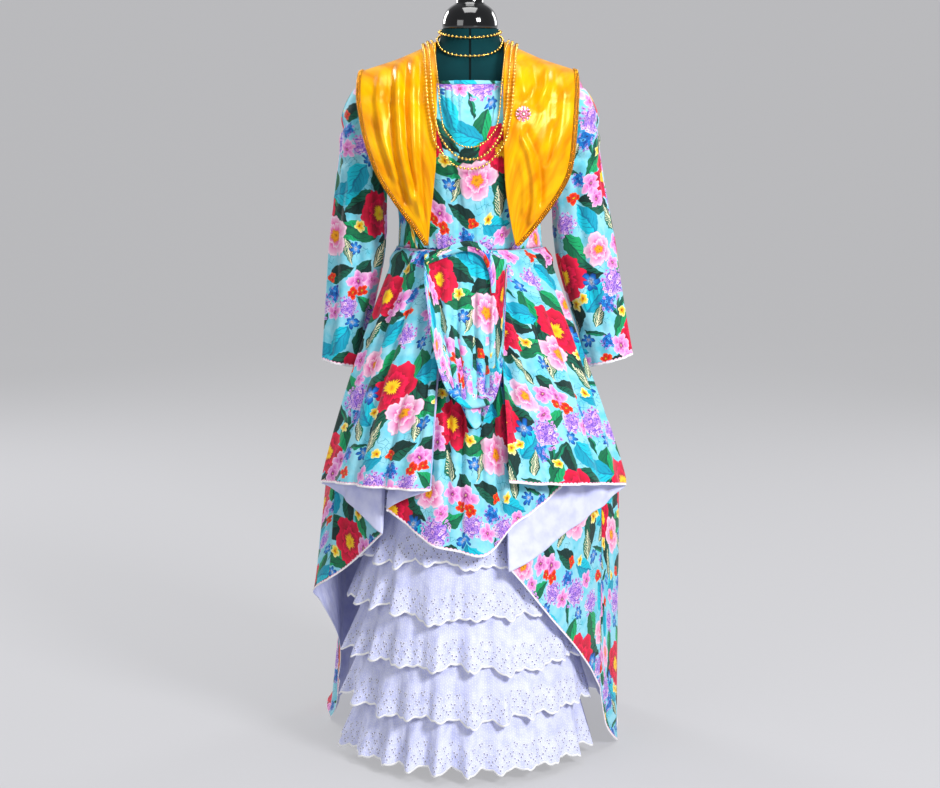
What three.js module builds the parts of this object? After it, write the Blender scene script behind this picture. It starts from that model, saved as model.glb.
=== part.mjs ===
// A Creole gala dress on a limbless dress form: a printed cotton gown whose skirt is hitched up in front and trails
// behind, a flounced eyelet petticoat under it, a satin shoulder scarf edged with braid, a brooch and bead strands.
// Millimetres, +Z up. The origin is the centre of the stand foot's underside, the wearer faces -Y, and +X is the
// wearer's left. Angles run round +Z from the front (-Y), positive towards +X.
import * as THREE from "three";
import { mergeVertices } from "three/addons/utils/BufferGeometryUtils.js";

// ---- driving sizes ----
const CLOTH = 2; // printed cotton, doubled at its hems
const LAWN = 1.4; // petticoat cotton and its eyelet flounces
const SATIN = 1.2; // shoulder scarf
const SEAM_GAP = 0.4; // between pieces that are sewn or rest on each other
const WAIST_Z = 1072; // waist seam of the gown
const FLARE_Z = 590; // level at which the skirt's folds are laid out
const FLOOR_LIFT = 1.5; // middle of the cloth that lies on the floor
const NECKLINE_Z = 1404; // square neckline at the centre front
const RIDGE_Y = 6; // top of the shoulders, fore and aft
const CHEST_Z = 1370; // level where the scarf leaves the shoulder's curve

const rad = THREE.MathUtils.degToRad;
const mix = THREE.MathUtils.lerp;
const clamp = THREE.MathUtils.clamp;

// ---- tables: a row for each section or fold ----

// Torso of the form: half width, half depth and fore-and-aft shift at each height.
const TORSO = [
  { z: 822, a: 142, b: 98, y: 5 },
  { z: 835, a: 159, b: 111, y: 5 },
  { z: 868, a: 165, b: 117, y: 5 },
  { z: 920, a: 161, b: 113, y: 5 },
  { z: 1000, a: 142, b: 101, y: 3 },
  { z: 1072, a: 126, b: 90, y: 0 },
  { z: 1130, a: 132, b: 94, y: -1 },
  { z: 1200, a: 146, b: 104, y: -7 },
  { z: 1270, a: 160, b: 113, y: -10 },
  { z: 1320, a: 171, b: 109, y: -8 },
  { z: 1370, a: 179, b: 98, y: -4 },
  { z: 1400, a: 174, b: 87, y: 0 },
  { z: 1425, a: 164, b: 79.5, y: 0 },
  { z: 1442, a: 137.7, b: 72.6, y: 2 },
  { z: 1456, a: 107.2, b: 66.5, y: 4 },
  { z: 1472, a: 76, b: 61, y: 6 },
  { z: 1490, a: 62, b: 58, y: 8 },
  { z: 1515, a: 58, b: 56, y: 10 },
];

// Bodice, set off from the torso, fuller at the waist where it is gathered in.
const BODICE = [
  { z: 1072.5, a: 149, b: 113, y: 0 },
  { z: 1092, a: 148, b: 112, y: -1 },
  { z: 1130, a: 146, b: 109, y: -2 },
  { z: 1200, a: 155, b: 114, y: -7 },
  { z: 1270, a: 168, b: 121, y: -10 },
  { z: 1320, a: 178, b: 117, y: -8 },
  { z: 1370, a: 186, b: 105, y: -4 },
  { z: 1400, a: 182, b: 95, y: 0 },
  { z: 1425, a: 171, b: 88, y: 0 },
  { z: 1442, a: 146, b: 81, y: 2 },
  { z: 1456, a: 118, b: 75, y: 4 },
  { z: 1474, a: 87, b: 70, y: 6 },
];

// Petticoat's plain body under the flounces.
const PETTICOAT = [
  { z: 1078, a: 127.6, b: 91.6, y: 0 },
  { z: 1066, a: 129, b: 93, y: 0 },
  { z: 980, a: 153, b: 111, y: 3 },
  { z: 900, a: 171, b: 124, y: 5 },
  { z: 850, a: 177, b: 132, y: 4 },
  { z: 700, a: 190, b: 156, y: 0 },
  { z: 500, a: 206, b: 186, y: -9 },
  { z: 260, a: 219, b: 208, y: -18 },
  { z: 32, a: 227, b: 219, y: -25 },
];

// Eyelet flounces from the top: hem height, mean stand-off and wave height at the hem, and the number of waves.
const FLOUNCES = [
  { hem: 533, out: 13, wave: 6, waves: 14 },
  { hem: 430, out: 15, wave: 7, waves: 15 },
  { hem: 327, out: 17, wave: 8, waves: 16 },
  { hem: 223, out: 19, wave: 9, waves: 17 },
  { hem: 119, out: 20, wave: 10, waves: 18 },
  { hem: 15, out: 20, wave: 11, waves: 19 },
];
const FLOUNCE_DEPTH = 128;
const SCALLOP = 4; // hem drops this much on the crests

// Gown skirt: one row for each point of the cloth's path round the body, seen from above. waistAt and waistOut
// give its place in the waist gathers, midAt and midR at FLARE_Z, hemAt and hemR at its hem, whose height is hem.
// power above 1 keeps a stretch in close at the hip, and sweep above 1 keeps it in until it nears the hem. Paths
// double back where the cloth falls in a cascade.
const SKIRT_FRONT = [
  { waistAt: -20, waistOut: 8, midAt: -17, midR: 272, hemAt: -17, hemR: 272, hem: 606, power: 1, sweep: 1 },
  { waistAt: -36, waistOut: 5.5, midAt: -30, midR: 266, hemAt: -30, hemR: 266.42, hem: 583, power: 1, sweep: 1 },
  { waistAt: -46, waistOut: 4, midAt: -39, midR: 262, hemAt: -39, hemR: 263.8, hem: 560, power: 1, sweep: 1 },
  { waistAt: -47, waistOut: 2.2, midAt: -41, midR: 256, hemAt: -41, hemR: 258.34, hem: 551, power: 1, sweep: 1 },
  { waistAt: -45, waistOut: 0.4, midAt: -39, midR: 250, hemAt: -39, hemR: 252.64, hem: 546, power: 1, sweep: 1 },
  { waistAt: -30, waistOut: 0, midAt: -26, midR: 246, hemAt: -26, hemR: 250.68, hem: 512, power: 1, sweep: 1 },
  { waistAt: -18, waistOut: 1, midAt: -17, midR: 252, hemAt: -17, hemR: 258, hem: 490, power: 1, sweep: 1 },
  { waistAt: -8, waistOut: 0, midAt: -6, midR: 243, hemAt: -6, hemR: 249.66, hem: 479, power: 1, sweep: 1 },
  { waistAt: 2, waistOut: 1, midAt: 4, midR: 250, hemAt: 4, hemR: 257.2, hem: 470, power: 1, sweep: 1 },
  { waistAt: 10, waistOut: 0, midAt: 11, midR: 242, hemAt: 11, hemR: 248.54, hem: 481, power: 1, sweep: 1 },
  { waistAt: 20, waistOut: 0.6, midAt: 20, midR: 250, hemAt: 20, hemR: 253.72, hem: 528, power: 1, sweep: 1 },
  { waistAt: 38, waistOut: 0, midAt: 36, midR: 252, hemAt: 36, hemR: 253.44, hem: 566, power: 1, sweep: 1 },
  { waistAt: 50, waistOut: 0.4, midAt: 45, midR: 254, hemAt: 45, hemR: 254.12, hem: 588, power: 1, sweep: 1 },
  { waistAt: 52, waistOut: 2.2, midAt: 47, midR: 259, hemAt: 47, hemR: 259, hem: 596, power: 1, sweep: 1 },
  { waistAt: 50, waistOut: 4, midAt: 45, midR: 264, hemAt: 45, hemR: 264, hem: 604, power: 1, sweep: 1 },
  { waistAt: 34, waistOut: 5.6, midAt: 30, midR: 268, hemAt: 30, hemR: 268, hem: 612, power: 1, sweep: 1 },
  { waistAt: 20, waistOut: 7.2, midAt: 18, midR: 272, hemAt: 18, hemR: 272, hem: 620, power: 1, sweep: 1 },
];

const SKIRT_RIGHT = [
  { waistAt: -21, waistOut: 12, midAt: -17, midR: 281, hemAt: -17, hemR: 281, hem: 606, power: 1, sweep: 1 },
  { waistAt: -40, waistOut: 12, midAt: -34, midR: 293, hemAt: -34, hemR: 293, hem: 604, power: 1, sweep: 1 },
  { waistAt: -58, waistOut: 12, midAt: -55, midR: 306, hemAt: -55, hemR: 306, hem: 600, power: 1, sweep: 1 },
  { waistAt: -74, waistOut: 11.5, midAt: -73, midR: 319, hemAt: -73, hemR: 319, hem: 590, power: 1, sweep: 1 },
  { waistAt: -77, waistOut: 8.5, midAt: -77, midR: 316, hemAt: -77, hemR: 316, hem: 584, power: 1, sweep: 1 },
  { waistAt: -74, waistOut: 6, midAt: -74, midR: 306, hemAt: -74, hemR: 306, hem: 578, power: 1, sweep: 1 },
  { waistAt: -66, waistOut: 5, midAt: -60, midR: 276, hemAt: -60, hemR: 277, hem: 545, power: 1, sweep: 1 },
  { waistAt: -56, waistOut: 4.2, midAt: -48, midR: 257, hemAt: -48, hemR: 259, hem: 509, power: 1, sweep: 1 },
  { waistAt: -55, waistOut: 2.2, midAt: -45.5, midR: 250, hemAt: -45.5, hemR: 254, hem: 502, power: 1, sweep: 1 },
  { waistAt: -57, waistOut: 0.4, midAt: -48, midR: 243, hemAt: -48, hemR: 250, hem: 492, power: 1, sweep: 1 },
  { waistAt: -70, waistOut: 0, midAt: -66, midR: 258, hemAt: -66, hemR: 268, hem: 424, power: 1.2, sweep: 1 },
  { waistAt: -79, waistOut: 0, midAt: -77, midR: 288, hemAt: -77, hemR: 306, hem: 378, power: 1.5, sweep: 1 },
];

const SKIRT_LEFT = [
  { waistAt: 21, waistOut: 12, midAt: 16.5, midR: 276, hemAt: 16.5, hemR: 276, hem: 622, power: 1, sweep: 1 },
  { waistAt: 40, waistOut: 12, midAt: 34, midR: 292, hemAt: 34, hemR: 292, hem: 612, power: 1, sweep: 1 },
  { waistAt: 58, waistOut: 12, midAt: 56, midR: 309, hemAt: 56, hemR: 309, hem: 600, power: 1, sweep: 1 },
  { waistAt: 76, waistOut: 11.5, midAt: 77, midR: 331, hemAt: 77, hemR: 331, hem: 581, power: 1, sweep: 1 },
  { waistAt: 80, waistOut: 8.5, midAt: 80.5, midR: 328, hemAt: 80.5, hemR: 328, hem: 573, power: 1, sweep: 1 },
  { waistAt: 77, waistOut: 6, midAt: 77, midR: 315, hemAt: 77, hemR: 315, hem: 562, power: 1, sweep: 1 },
  { waistAt: 66, waistOut: 4.2, midAt: 62, midR: 276, hemAt: 62, hemR: 277, hem: 524, power: 1, sweep: 1 },
  { waistAt: 56, waistOut: -2.4, midAt: 50, midR: 247, hemAt: 50, hemR: 251, hem: 497, power: 1, sweep: 1 },
  { waistAt: 40, waistOut: -3.2, midAt: 34, midR: 241, hemAt: 34, hemR: 250, hem: 463, power: 1, sweep: 1 },
  { waistAt: 24, waistOut: -3.2, midAt: 21, midR: 240, hemAt: 20, hemR: 258, hem: 441, power: 1, sweep: 1 },
  { waistAt: 22, waistOut: -4.6, midAt: 18.5, midR: 235, hemAt: 18, hemR: 254, hem: 437, power: 1, sweep: 1 },
  { waistAt: 24, waistOut: -6.2, midAt: 21, midR: 229, hemAt: 21, hemR: 249, hem: 430, power: 1, sweep: 1 },
  { waistAt: 46, waistOut: -6.4, midAt: 42, midR: 231, hemAt: 41, hemR: 254, hem: 326, power: 1, sweep: 0.8 },
  { waistAt: 66, waistOut: -4, midAt: 64, midR: 252, hemAt: 62, hemR: 269, hem: 224, power: 1.1, sweep: 0.8 },
  { waistAt: 82, waistOut: 0, midAt: 80, midR: 280, hemAt: 76, hemR: 282, hem: 146, power: 1.4, sweep: 1 },
];

// Back of the skirt, from the wearer's right side seam round to the left one, with the train's outline at the floor.
const SKIRT_BACK = [
  { waistAt: -79.2, waistOut: 0, midAt: -77.2, midR: 288, hemAt: -77.2, hemR: 306.5, hem: 377, power: 1.5, sweep: 1 },
  { waistAt: -86.5, waistOut: 1, midAt: -85.8, midR: 306, hemAt: -86.3, hemR: 334, hem: 343, power: 1.7, sweep: 1 },
  { waistAt: -90, waistOut: 0.8, midAt: -89.8, midR: 303, hemAt: -90.5, hemR: 318, hem: 312, power: 1.7, sweep: 1 },
  { waistAt: -94, waistOut: 0.3, midAt: -94, midR: 290, hemAt: -95, hemR: 284, hem: 226, power: 1.55, sweep: 1 },
  { waistAt: -99, waistOut: 0, midAt: -101, midR: 288, hemAt: -101, hemR: 292, hem: 130, power: 1.5, sweep: 1.2 },
  { waistAt: -106, waistOut: 1.5, midAt: -111, midR: 298, hemAt: -119, hemR: 356, hem: 0, power: 1.55, sweep: 1 },
  { waistAt: -115, waistOut: 0, midAt: -121, midR: 280, hemAt: -129, hemR: 420, hem: 0, power: 1.45, sweep: 1 },
  { waistAt: -125, waistOut: 1.5, midAt: -132, midR: 292, hemAt: -139, hemR: 486, hem: 0, power: 1.3, sweep: 1 },
  { waistAt: -136, waistOut: 0, midAt: -143, midR: 266, hemAt: -149, hemR: 498, hem: 0, power: 1.2, sweep: 1 },
  { waistAt: -148, waistOut: 1.5, midAt: -154, midR: 282, hemAt: -159, hemR: 530, hem: 0, power: 1.15, sweep: 1 },
  { waistAt: -160, waistOut: 0, midAt: -165, midR: 258, hemAt: -169, hemR: 528, hem: 0, power: 1.1, sweep: 1 },
  { waistAt: -172, waistOut: 1.5, midAt: -175, midR: 276, hemAt: -178, hemR: 552, hem: 0, power: 1.1, sweep: 1 },
  { waistAt: -184, waistOut: 0, midAt: -186, midR: 258, hemAt: -188, hemR: 530, hem: 0, power: 1.1, sweep: 1 },
  { waistAt: -196, waistOut: 1.5, midAt: -197, midR: 278, hemAt: -198, hemR: 536, hem: 0, power: 1.15, sweep: 1 },
  { waistAt: -208, waistOut: 0, midAt: -208, midR: 266, hemAt: -208, hemR: 502, hem: 0, power: 1.2, sweep: 1 },
  { waistAt: -220, waistOut: 1.5, midAt: -219, midR: 290, hemAt: -219, hemR: 494, hem: 0, power: 1.3, sweep: 1 },
  { waistAt: -232, waistOut: 0, midAt: -231, midR: 282, hemAt: -230, hemR: 424, hem: 0, power: 1.4, sweep: 1 },
  { waistAt: -243, waistOut: 1.5, midAt: -242, midR: 304, hemAt: -242, hemR: 372, hem: 0, power: 1.55, sweep: 1 },
  { waistAt: -254, waistOut: 0, midAt: -254, midR: 304, hemAt: -256, hemR: 330, hem: 0, power: 1.6, sweep: 1 },
  { waistAt: -264, waistOut: 0.6, midAt: -264.5, midR: 318, hemAt: -268, hemR: 316, hem: 4, power: 1.65, sweep: 1.3 },
  { waistAt: -272, waistOut: 0.4, midAt: -274, midR: 304, hemAt: -278, hemR: 292, hem: 56, power: 1.6, sweep: 1 },
  { waistAt: -277.6, waistOut: 0, midAt: -279.6, midR: 280.4, hemAt: -283.8, hemR: 282.4, hem: 145, power: 1.4, sweep: 1 },
];

// Sleeve rings of the wearer's left arm: centre, tilt from level, half width across the arm and half depth.
const SLEEVE_LEFT = [
  { x: 172.7, y: -1, z: 1374, tilt: 100, w: 57, d: 52 },
  { x: 186, y: 0, z: 1375, tilt: 86, w: 61, d: 54 },
  { x: 203, y: 3, z: 1354, tilt: 67, w: 60, d: 55 },
  { x: 217, y: 6, z: 1310, tilt: 40, w: 60, d: 54 },
  { x: 220, y: 8, z: 1250, tilt: 20, w: 54, d: 51 },
  { x: 226, y: 10, z: 1165, tilt: 13, w: 58, d: 49 },
  { x: 237, y: 14, z: 1075, tilt: 12, w: 64, d: 47 },
  { x: 255, y: 20, z: 985, tilt: 12, w: 60, d: 45 },
  { x: 275, y: 25, z: 900, tilt: 12, w: 54, d: 43 },
  { x: 291, y: 28, z: 828, tilt: 14, w: 52, d: 41 },
];
const SLEEVE_RIGHT = [
  { x: -172.7, y: -1, z: 1374, tilt: 100, w: 57, d: 52 },
  { x: -186, y: 0, z: 1375, tilt: 86, w: 61, d: 54 },
  { x: -203, y: 3, z: 1354, tilt: 67, w: 60, d: 55 },
  { x: -217, y: 6, z: 1310, tilt: 40, w: 60, d: 54 },
  { x: -221, y: 8, z: 1250, tilt: 20, w: 54, d: 51 },
  { x: -226, y: 10, z: 1165, tilt: 13, w: 57, d: 49 },
  { x: -232, y: 14, z: 1075, tilt: 9, w: 61, d: 47 },
  { x: -244, y: 20, z: 985, tilt: 9, w: 56, d: 45 },
  { x: -256, y: 25, z: 900, tilt: 9, w: 50, d: 43 },
  { x: -265, y: 28, z: 822, tilt: 10, w: 47, d: 41 },
];

// Shoulder scarf, one cloth: a row for each line across it, from the wearer's right front point over the shoulder,
// round the back and down to the left front point. Each end of a line has a width x and a run q, which is 0 on top
// of the shoulder and 1 at CHEST_Z, and then grows by 1 for each 100 mm down. Negative runs lie on the back.
const SCARF = [
  { inX: -84, inQ: 3.87, outX: -92, outQ: 3.88 },
  { inX: -81, inQ: 3.45, outX: -117, outQ: 3.52 },
  { inX: -74, inQ: 2.85, outX: -154, outQ: 3.02 },
  { inX: -68, inQ: 2.2, outX: -189, outQ: 2.46 },
  { inX: -67, inQ: 1.6, outX: -213, outQ: 1.8 },
  { inX: -66, inQ: 1, outX: -228, outQ: 1.08 },
  { inX: -67, inQ: 0.66, outX: -230, outQ: 0.7 },
  { inX: -69, inQ: 0.33, outX: -229, outQ: 0.34 },
  { inX: -70, inQ: 0, outX: -227, outQ: 0 },
  { inX: -66, inQ: -0.13, outX: -227, outQ: -0.34 },
  { inX: -58, inQ: -0.24, outX: -225, outQ: -0.7 },
  { inX: -48, inQ: -0.33, outX: -217, outQ: -1.1 },
  { inX: -37, inQ: -0.4, outX: -186, outQ: -1.75 },
  { inX: -25, inQ: -0.44, outX: -142, outQ: -2.45 },
  { inX: -13, inQ: -0.46, outX: -80, outQ: -3.1 },
  { inX: 0, inQ: -0.47, outX: 0, outQ: -3.5 },
  { inX: 13, inQ: -0.46, outX: 80, outQ: -3.1 },
  { inX: 25, inQ: -0.44, outX: 142, outQ: -2.45 },
  { inX: 37, inQ: -0.4, outX: 186, outQ: -1.75 },
  { inX: 48, inQ: -0.33, outX: 213, outQ: -1.1 },
  { inX: 58, inQ: -0.24, outX: 219, outQ: -0.7 },
  { inX: 66, inQ: -0.13, outX: 220, outQ: -0.34 },
  { inX: 70, inQ: 0, outX: 220, outQ: 0 },
  { inX: 69, inQ: 0.33, outX: 221, outQ: 0.34 },
  { inX: 67, inQ: 0.66, outX: 221, outQ: 0.7 },
  { inX: 66, inQ: 1, outX: 219, outQ: 1.08 },
  { inX: 67, inQ: 1.6, outX: 214, outQ: 1.8 },
  { inX: 68, inQ: 2.2, outX: 203, outQ: 2.46 },
  { inX: 73, inQ: 2.85, outX: 172, outQ: 3.02 },
  { inX: 83, inQ: 3.45, outX: 134, outQ: 3.52 },
  { inX: 92, inQ: 3.87, outX: 101, outQ: 3.88 },
];
const SCARF_LIFT = 11; // the satin stands this far off the bodice
// Top of the scarf over the shoulder.
const RIDGE = [
  { x: 0, z: 1500 },
  { x: 66, z: 1490 },
  { x: 110, z: 1470 },
  { x: 150, z: 1453 },
  { x: 190, z: 1440 },
  { x: 230, z: 1427 },
];
const BRAID = { width: 10, thick: 2.4 };

// Short bead strands lie round the form's neck, at these heights in front and behind.
const SHORT_STRANDS = [
  { name: "strand_1", bead: 3, frontZ: 1497, backZ: 1512, clear: 1.2 },
  { name: "strand_2", bead: 3, frontZ: 1460, backZ: 1504, clear: 2.5 },
];
// Long bead strands lie on the scarf: width on the shoulder and on the chest, and the lowest point in front.
const LONG_STRANDS = [
  { name: "strand_3", bead: 2.2, lowZ: 1281, shoulderX: 79, chestX: 62, bendX: 50, nape: 0.5 },
  { name: "strand_4", bead: 3, lowZ: 1257, shoulderX: 87, chestX: 76, bendX: 58, nape: 0.58 },
  { name: "strand_5", bead: 3, lowZ: 1238, shoulderX: 96, chestX: 86, bendX: 68, nape: 0.67 },
];

// Lower edge of the loop of skirt cloth that hangs from the waist: share of its depth over its width.
const LOOP_EDGE = [
  { s: 0, hang: 0 },
  { s: 0.1, hang: 0.46 },
  { s: 0.2, hang: 0.73 },
  { s: 0.33, hang: 0.9 },
  { s: 0.55, hang: 1 },
  { s: 0.8, hang: 0.96 },
  { s: 0.93, hang: 0.74 },
  { s: 1, hang: 0 },
];
const UNDER_EDGE = [
  { s: 0, hang: 0 },
  { s: 0.3, hang: 0.55 },
  { s: 0.6, hang: 1 },
  { s: 0.85, hang: 0.62 },
  { s: 1, hang: 0 },
];
const LOOP = { left: -92, right: 74, top: 1056, side: 44, depth: 288, out: 18, fold: 4.5, folds: 4, edge: LOOP_EDGE };
const LOOP_UNDER = { left: -66, right: 62, top: 905, side: 30, depth: 177, out: 13, fold: 0, folds: 1, edge: UNDER_EDGE };

// ---- working functions ----

// A named column of a table at a place along another, eased through the rows without overshoot.
function read(rows, key, at, along = "z") {
  const sorted = [...rows].sort((p, q) => p[along] - q[along]);
  const x = sorted.map((r) => r[along]);
  const v = sorted.map((r) => r[key]);
  const n = x.length;
  if (at <= x[0]) return v[0];
  if (at >= x[n - 1]) return v[n - 1];
  let i = 0;
  while (at > x[i + 1]) i++;
  const slope = (k) => (v[k + 1] - v[k]) / (x[k + 1] - x[k]);
  const tangent = (k) => {
    if (k === 0) return slope(0);
    if (k === n - 1) return slope(n - 2);
    const before = slope(k - 1);
    const after = slope(k);
    return before * after <= 0 ? 0 : (2 * before * after) / (before + after);
  };
  const h = x[i + 1] - x[i];
  const t = (at - x[i]) / h;
  const t2 = t * t;
  const t3 = t2 * t;
  return (
    (2 * t3 - 3 * t2 + 1) * v[i] +
    (t3 - 2 * t2 + t) * h * tangent(i) +
    (3 * t2 - 2 * t3) * v[i + 1] +
    (t3 - t2) * h * tangent(i + 1)
  );
}

// Points of a path through a table's rows, with the given number of steps between each two (Catmull-Rom).
function along(rows, steps) {
  const keys = Object.keys(rows[0]).filter((k) => typeof rows[0][k] === "number");
  const last = rows.length - 1;
  const made = [];
  for (let i = 0; i < last; i++) {
    const [p, q, r, s] = [rows[Math.max(i - 1, 0)], rows[i], rows[i + 1], rows[Math.min(i + 2, last)]];
    for (let k = 0; k < steps; k++) {
      const t = k / steps;
      const point = {};
      for (const key of keys) {
        point[key] =
          0.5 *
          (2 * q[key] +
            (r[key] - p[key]) * t +
            (2 * p[key] - 5 * q[key] + 4 * r[key] - s[key]) * t * t +
            (3 * q[key] - p[key] - 3 * r[key] + s[key]) * t * t * t);
      }
      made.push(point);
    }
  }
  made.push(rows[last]);
  return made;
}

function signedVolume(geometry) {
  const p = geometry.getAttribute("position");
  const index = geometry.index.array;
  const [a, b, c] = [new THREE.Vector3(), new THREE.Vector3(), new THREE.Vector3()];
  let total = 0;
  for (let i = 0; i < index.length; i += 3) {
    a.fromBufferAttribute(p, index[i]);
    b.fromBufferAttribute(p, index[i + 1]);
    c.fromBufferAttribute(p, index[i + 2]);
    total += a.dot(b.cross(c)) / 6;
  }
  return total;
}

// A geometry from points and faces, turned to face out.
function solid(points, faces) {
  const geometry = new THREE.BufferGeometry();
  geometry.setAttribute("position", new THREE.Float32BufferAttribute(points.flatMap((p) => p.toArray()), 3));
  geometry.setIndex(faces);
  if (signedVolume(geometry) < 0) {
    for (let i = 0; i < faces.length; i += 3) [faces[i], faces[i + 1]] = [faces[i + 1], faces[i]];
    geometry.setIndex(faces);
  }
  return geometry;
}

// Unit normals of a sheet of points, given as rows of equal length.
function normalsOf(sheet, closed) {
  const rows = sheet.length;
  const cols = sheet[0].length;
  const at = (i, j) => sheet[clamp(i, 0, rows - 1)][closed ? (j + cols) % cols : clamp(j, 0, cols - 1)];
  return sheet.map((line, i) =>
    line.map((point, j) => {
      const down = at(i + 1, j).clone().sub(at(i - 1, j));
      const across = at(i, j + 1).clone().sub(at(i, j - 1));
      return across.cross(down).normalize();
    }),
  );
}

// A closed wall of even thickness about a sheet, moved along its normals by `lift`. Joined round if closed.
function wall(sheet, thickness, { closed = false, lift = 0, normals = normalsOf(sheet, closed) } = {}) {
  const rows = sheet.length;
  const cols = sheet[0].length;
  const shifted = (by) => sheet.flatMap((line, i) => line.map((p, j) => p.clone().addScaledVector(normals[i][j], by)));
  const outer = shifted(lift + thickness / 2);
  const inner = shifted(lift - thickness / 2);
  const faces = [];
  const far = rows * cols;
  const quad = (a, b, c, d) => faces.push(a, b, c, a, c, d);
  const wide = closed ? cols : cols - 1;
  for (let j = 0; j < wide; j++) {
    const next = (j + 1) % cols;
    for (let i = 0; i < rows - 1; i++) {
      const [a, b, c, d] = [i * cols + j, (i + 1) * cols + j, (i + 1) * cols + next, i * cols + next];
      quad(a, b, c, d);
      quad(far + a, far + d, far + c, far + b);
    }
    const low = (rows - 1) * cols;
    quad(j, next, far + next, far + j);
    quad(low + next, low + j, far + low + j, far + low + next);
  }
  if (!closed) {
    for (let i = 0; i < rows - 1; i++) {
      const [start, end] = [i * cols, i * cols + cols - 1];
      quad(start, far + start, far + start + cols, start + cols);
      quad(end + cols, far + end + cols, far + end, end);
    }
  }
  return solid([...outer, ...inner], faces);
}

// A tube of round section along a closed loop of points.
function loopTube(points, radius, sides) {
  const curve = new THREE.CatmullRomCurve3(points, true, "centripetal");
  const steps = points.length * 2;
  const rings = [];
  for (let i = 0; i < steps; i++) {
    const centre = curve.getPointAt(i / steps);
    const tangent = curve.getTangentAt(i / steps);
    const outward = centre.clone().setZ(0).cross(tangent).normalize();
    const side = tangent.clone().cross(outward).normalize();
    const ring = [];
    for (let k = 0; k < sides; k++) {
      const turn = (2 * Math.PI * k) / sides;
      ring.push(
        centre
          .clone()
          .addScaledVector(outward, radius * Math.cos(turn))
          .addScaledVector(side, radius * Math.sin(turn)),
      );
    }
    rings.push(ring);
  }
  const faces = [];
  for (let i = 0; i < steps; i++) {
    for (let k = 0; k < sides; k++) {
      const [a, b] = [i * sides + k, i * sides + ((k + 1) % sides)];
      const [c, d] = [((i + 1) % steps) * sides + ((k + 1) % sides), ((i + 1) % steps) * sides + k];
      faces.push(a, b, c, a, c, d);
    }
  }
  return solid(rings.flat(), faces);
}

// Faces that join stacked rings of points into a closed body with flat ends.
function ringFaces(rings, sides) {
  const faces = [];
  for (let i = 0; i < rings - 1; i++) {
    for (let k = 0; k < sides; k++) {
      const [a, b] = [i * sides + k, i * sides + ((k + 1) % sides)];
      faces.push(a, b, b + sides, a, b + sides, a + sides);
    }
  }
  const last = (rings - 1) * sides;
  for (let k = 1; k < sides - 1; k++) {
    faces.push(0, k + 1, k);
    faces.push(last, last + k, last + k + 1);
  }
  return faces;
}

// A point on an elliptical section at an angle from the front, set off outwards.
function onSection(rows, z, degrees, off = 0) {
  const t = rad(degrees);
  const x = (read(rows, "a", z) + off) * Math.sin(t);
  const y = read(rows, "y", z) - (read(rows, "b", z) + off) * Math.cos(t);
  return new THREE.Vector3(x, y, z);
}

// A solid turned from a profile of [radius, height] pairs about the vertical axis.
function turned(profile, segments) {
  const geometry = new THREE.LatheGeometry(
    profile.map(([r, z]) => new THREE.Vector2(r, z)),
    segments,
  );
  geometry.rotateX(Math.PI / 2);
  geometry.deleteAttribute("normal");
  geometry.deleteAttribute("uv");
  const merged = mergeVertices(geometry, 1e-3);
  const points = [];
  for (let i = 0; i < merged.getAttribute("position").count; i++) {
    points.push(new THREE.Vector3().fromBufferAttribute(merged.getAttribute("position"), i));
  }
  const faces = [];
  const index = merged.index.array;
  for (let i = 0; i < index.length; i += 3) {
    const [a, b, c] = [index[i], index[i + 1], index[i + 2]];
    if (a !== b && b !== c && a !== c) faces.push(a, b, c);
  }
  return solid(points, faces);
}

// ---- dress form ----

const FORM_SIDES = 28;

function torso() {
  const points = TORSO.flatMap(({ z }) => {
    const ring = [];
    for (let j = 0; j < FORM_SIDES; j++) ring.push(onSection(TORSO, z, (360 * j) / FORM_SIDES));
    return ring;
  });
  return solid(points, ringFaces(TORSO.length, FORM_SIDES));
}

const NECK_CAP = [
  [0, 1515.4],
  [55, 1515.4],
  [57, 1522],
  [55, 1538],
  [47, 1554],
  [34, 1564],
  [28, 1570],
  [28, 1602],
  [22, 1609],
  [0, 1612],
];
const POLE_R = 14;
const FOOT = [
  [0, 0],
  [165, 0],
  [165, 8],
  [150, 14],
  [40, 20],
  [24, 30],
  [0, 30],
];

function neckCap() {
  const geometry = turned(NECK_CAP, 24);
  geometry.translate(0, 10, 0);
  return geometry;
}

function pole() {
  return turned(
    [
      [0, 30.4],
      [POLE_R, 30.4],
      [POLE_R, 821.6],
      [0, 821.6],
    ],
    16,
  );
}

// ---- bodice ----

// Upper edge over half the width (u): angle from the middle and height, along the neckline, then the shoulder.
const FRONT_TOP = [
  { u: 0, at: 0, z: NECKLINE_Z },
  { u: 0.31, at: 27, z: NECKLINE_Z + 2 },
  { u: 0.44, at: 39, z: NECKLINE_Z + 32 },
  { u: 0.55, at: 62, z: 1462 },
  { u: 0.66, at: 89.5, z: 1474 },
  { u: 0.83, at: 89.5, z: 1458 },
  { u: 1, at: 89.5, z: 1434 },
];
const BACK_TOP = [
  { u: 0, at: 0, z: 1450 },
  { u: 0.4, at: 56, z: 1456 },
  { u: 0.6, at: 89.5, z: 1474 },
  { u: 0.8, at: 89.5, z: 1458 },
  { u: 1, at: 89.5, z: 1434 },
];
// Levels under it, down to the waist, with the angle of the armhole edge or side seam.
const BODICE_LEVELS = [
  { z: 1390, at: 60 },
  { z: 1345, at: 65 },
  { z: 1324, at: 76 },
  { z: 1304, at: 89.5 },
  { z: 1270, at: 89.5 },
  { z: 1200, at: 89.5 },
  { z: 1130, at: 89.5 },
  { z: 1092, at: 89.5 },
  { z: 1072.5, at: 89.5 },
];
const BODICE_COLS = 18;
const YOKE_STEPS = 4; // rows from the shoulder down to the first level

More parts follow.
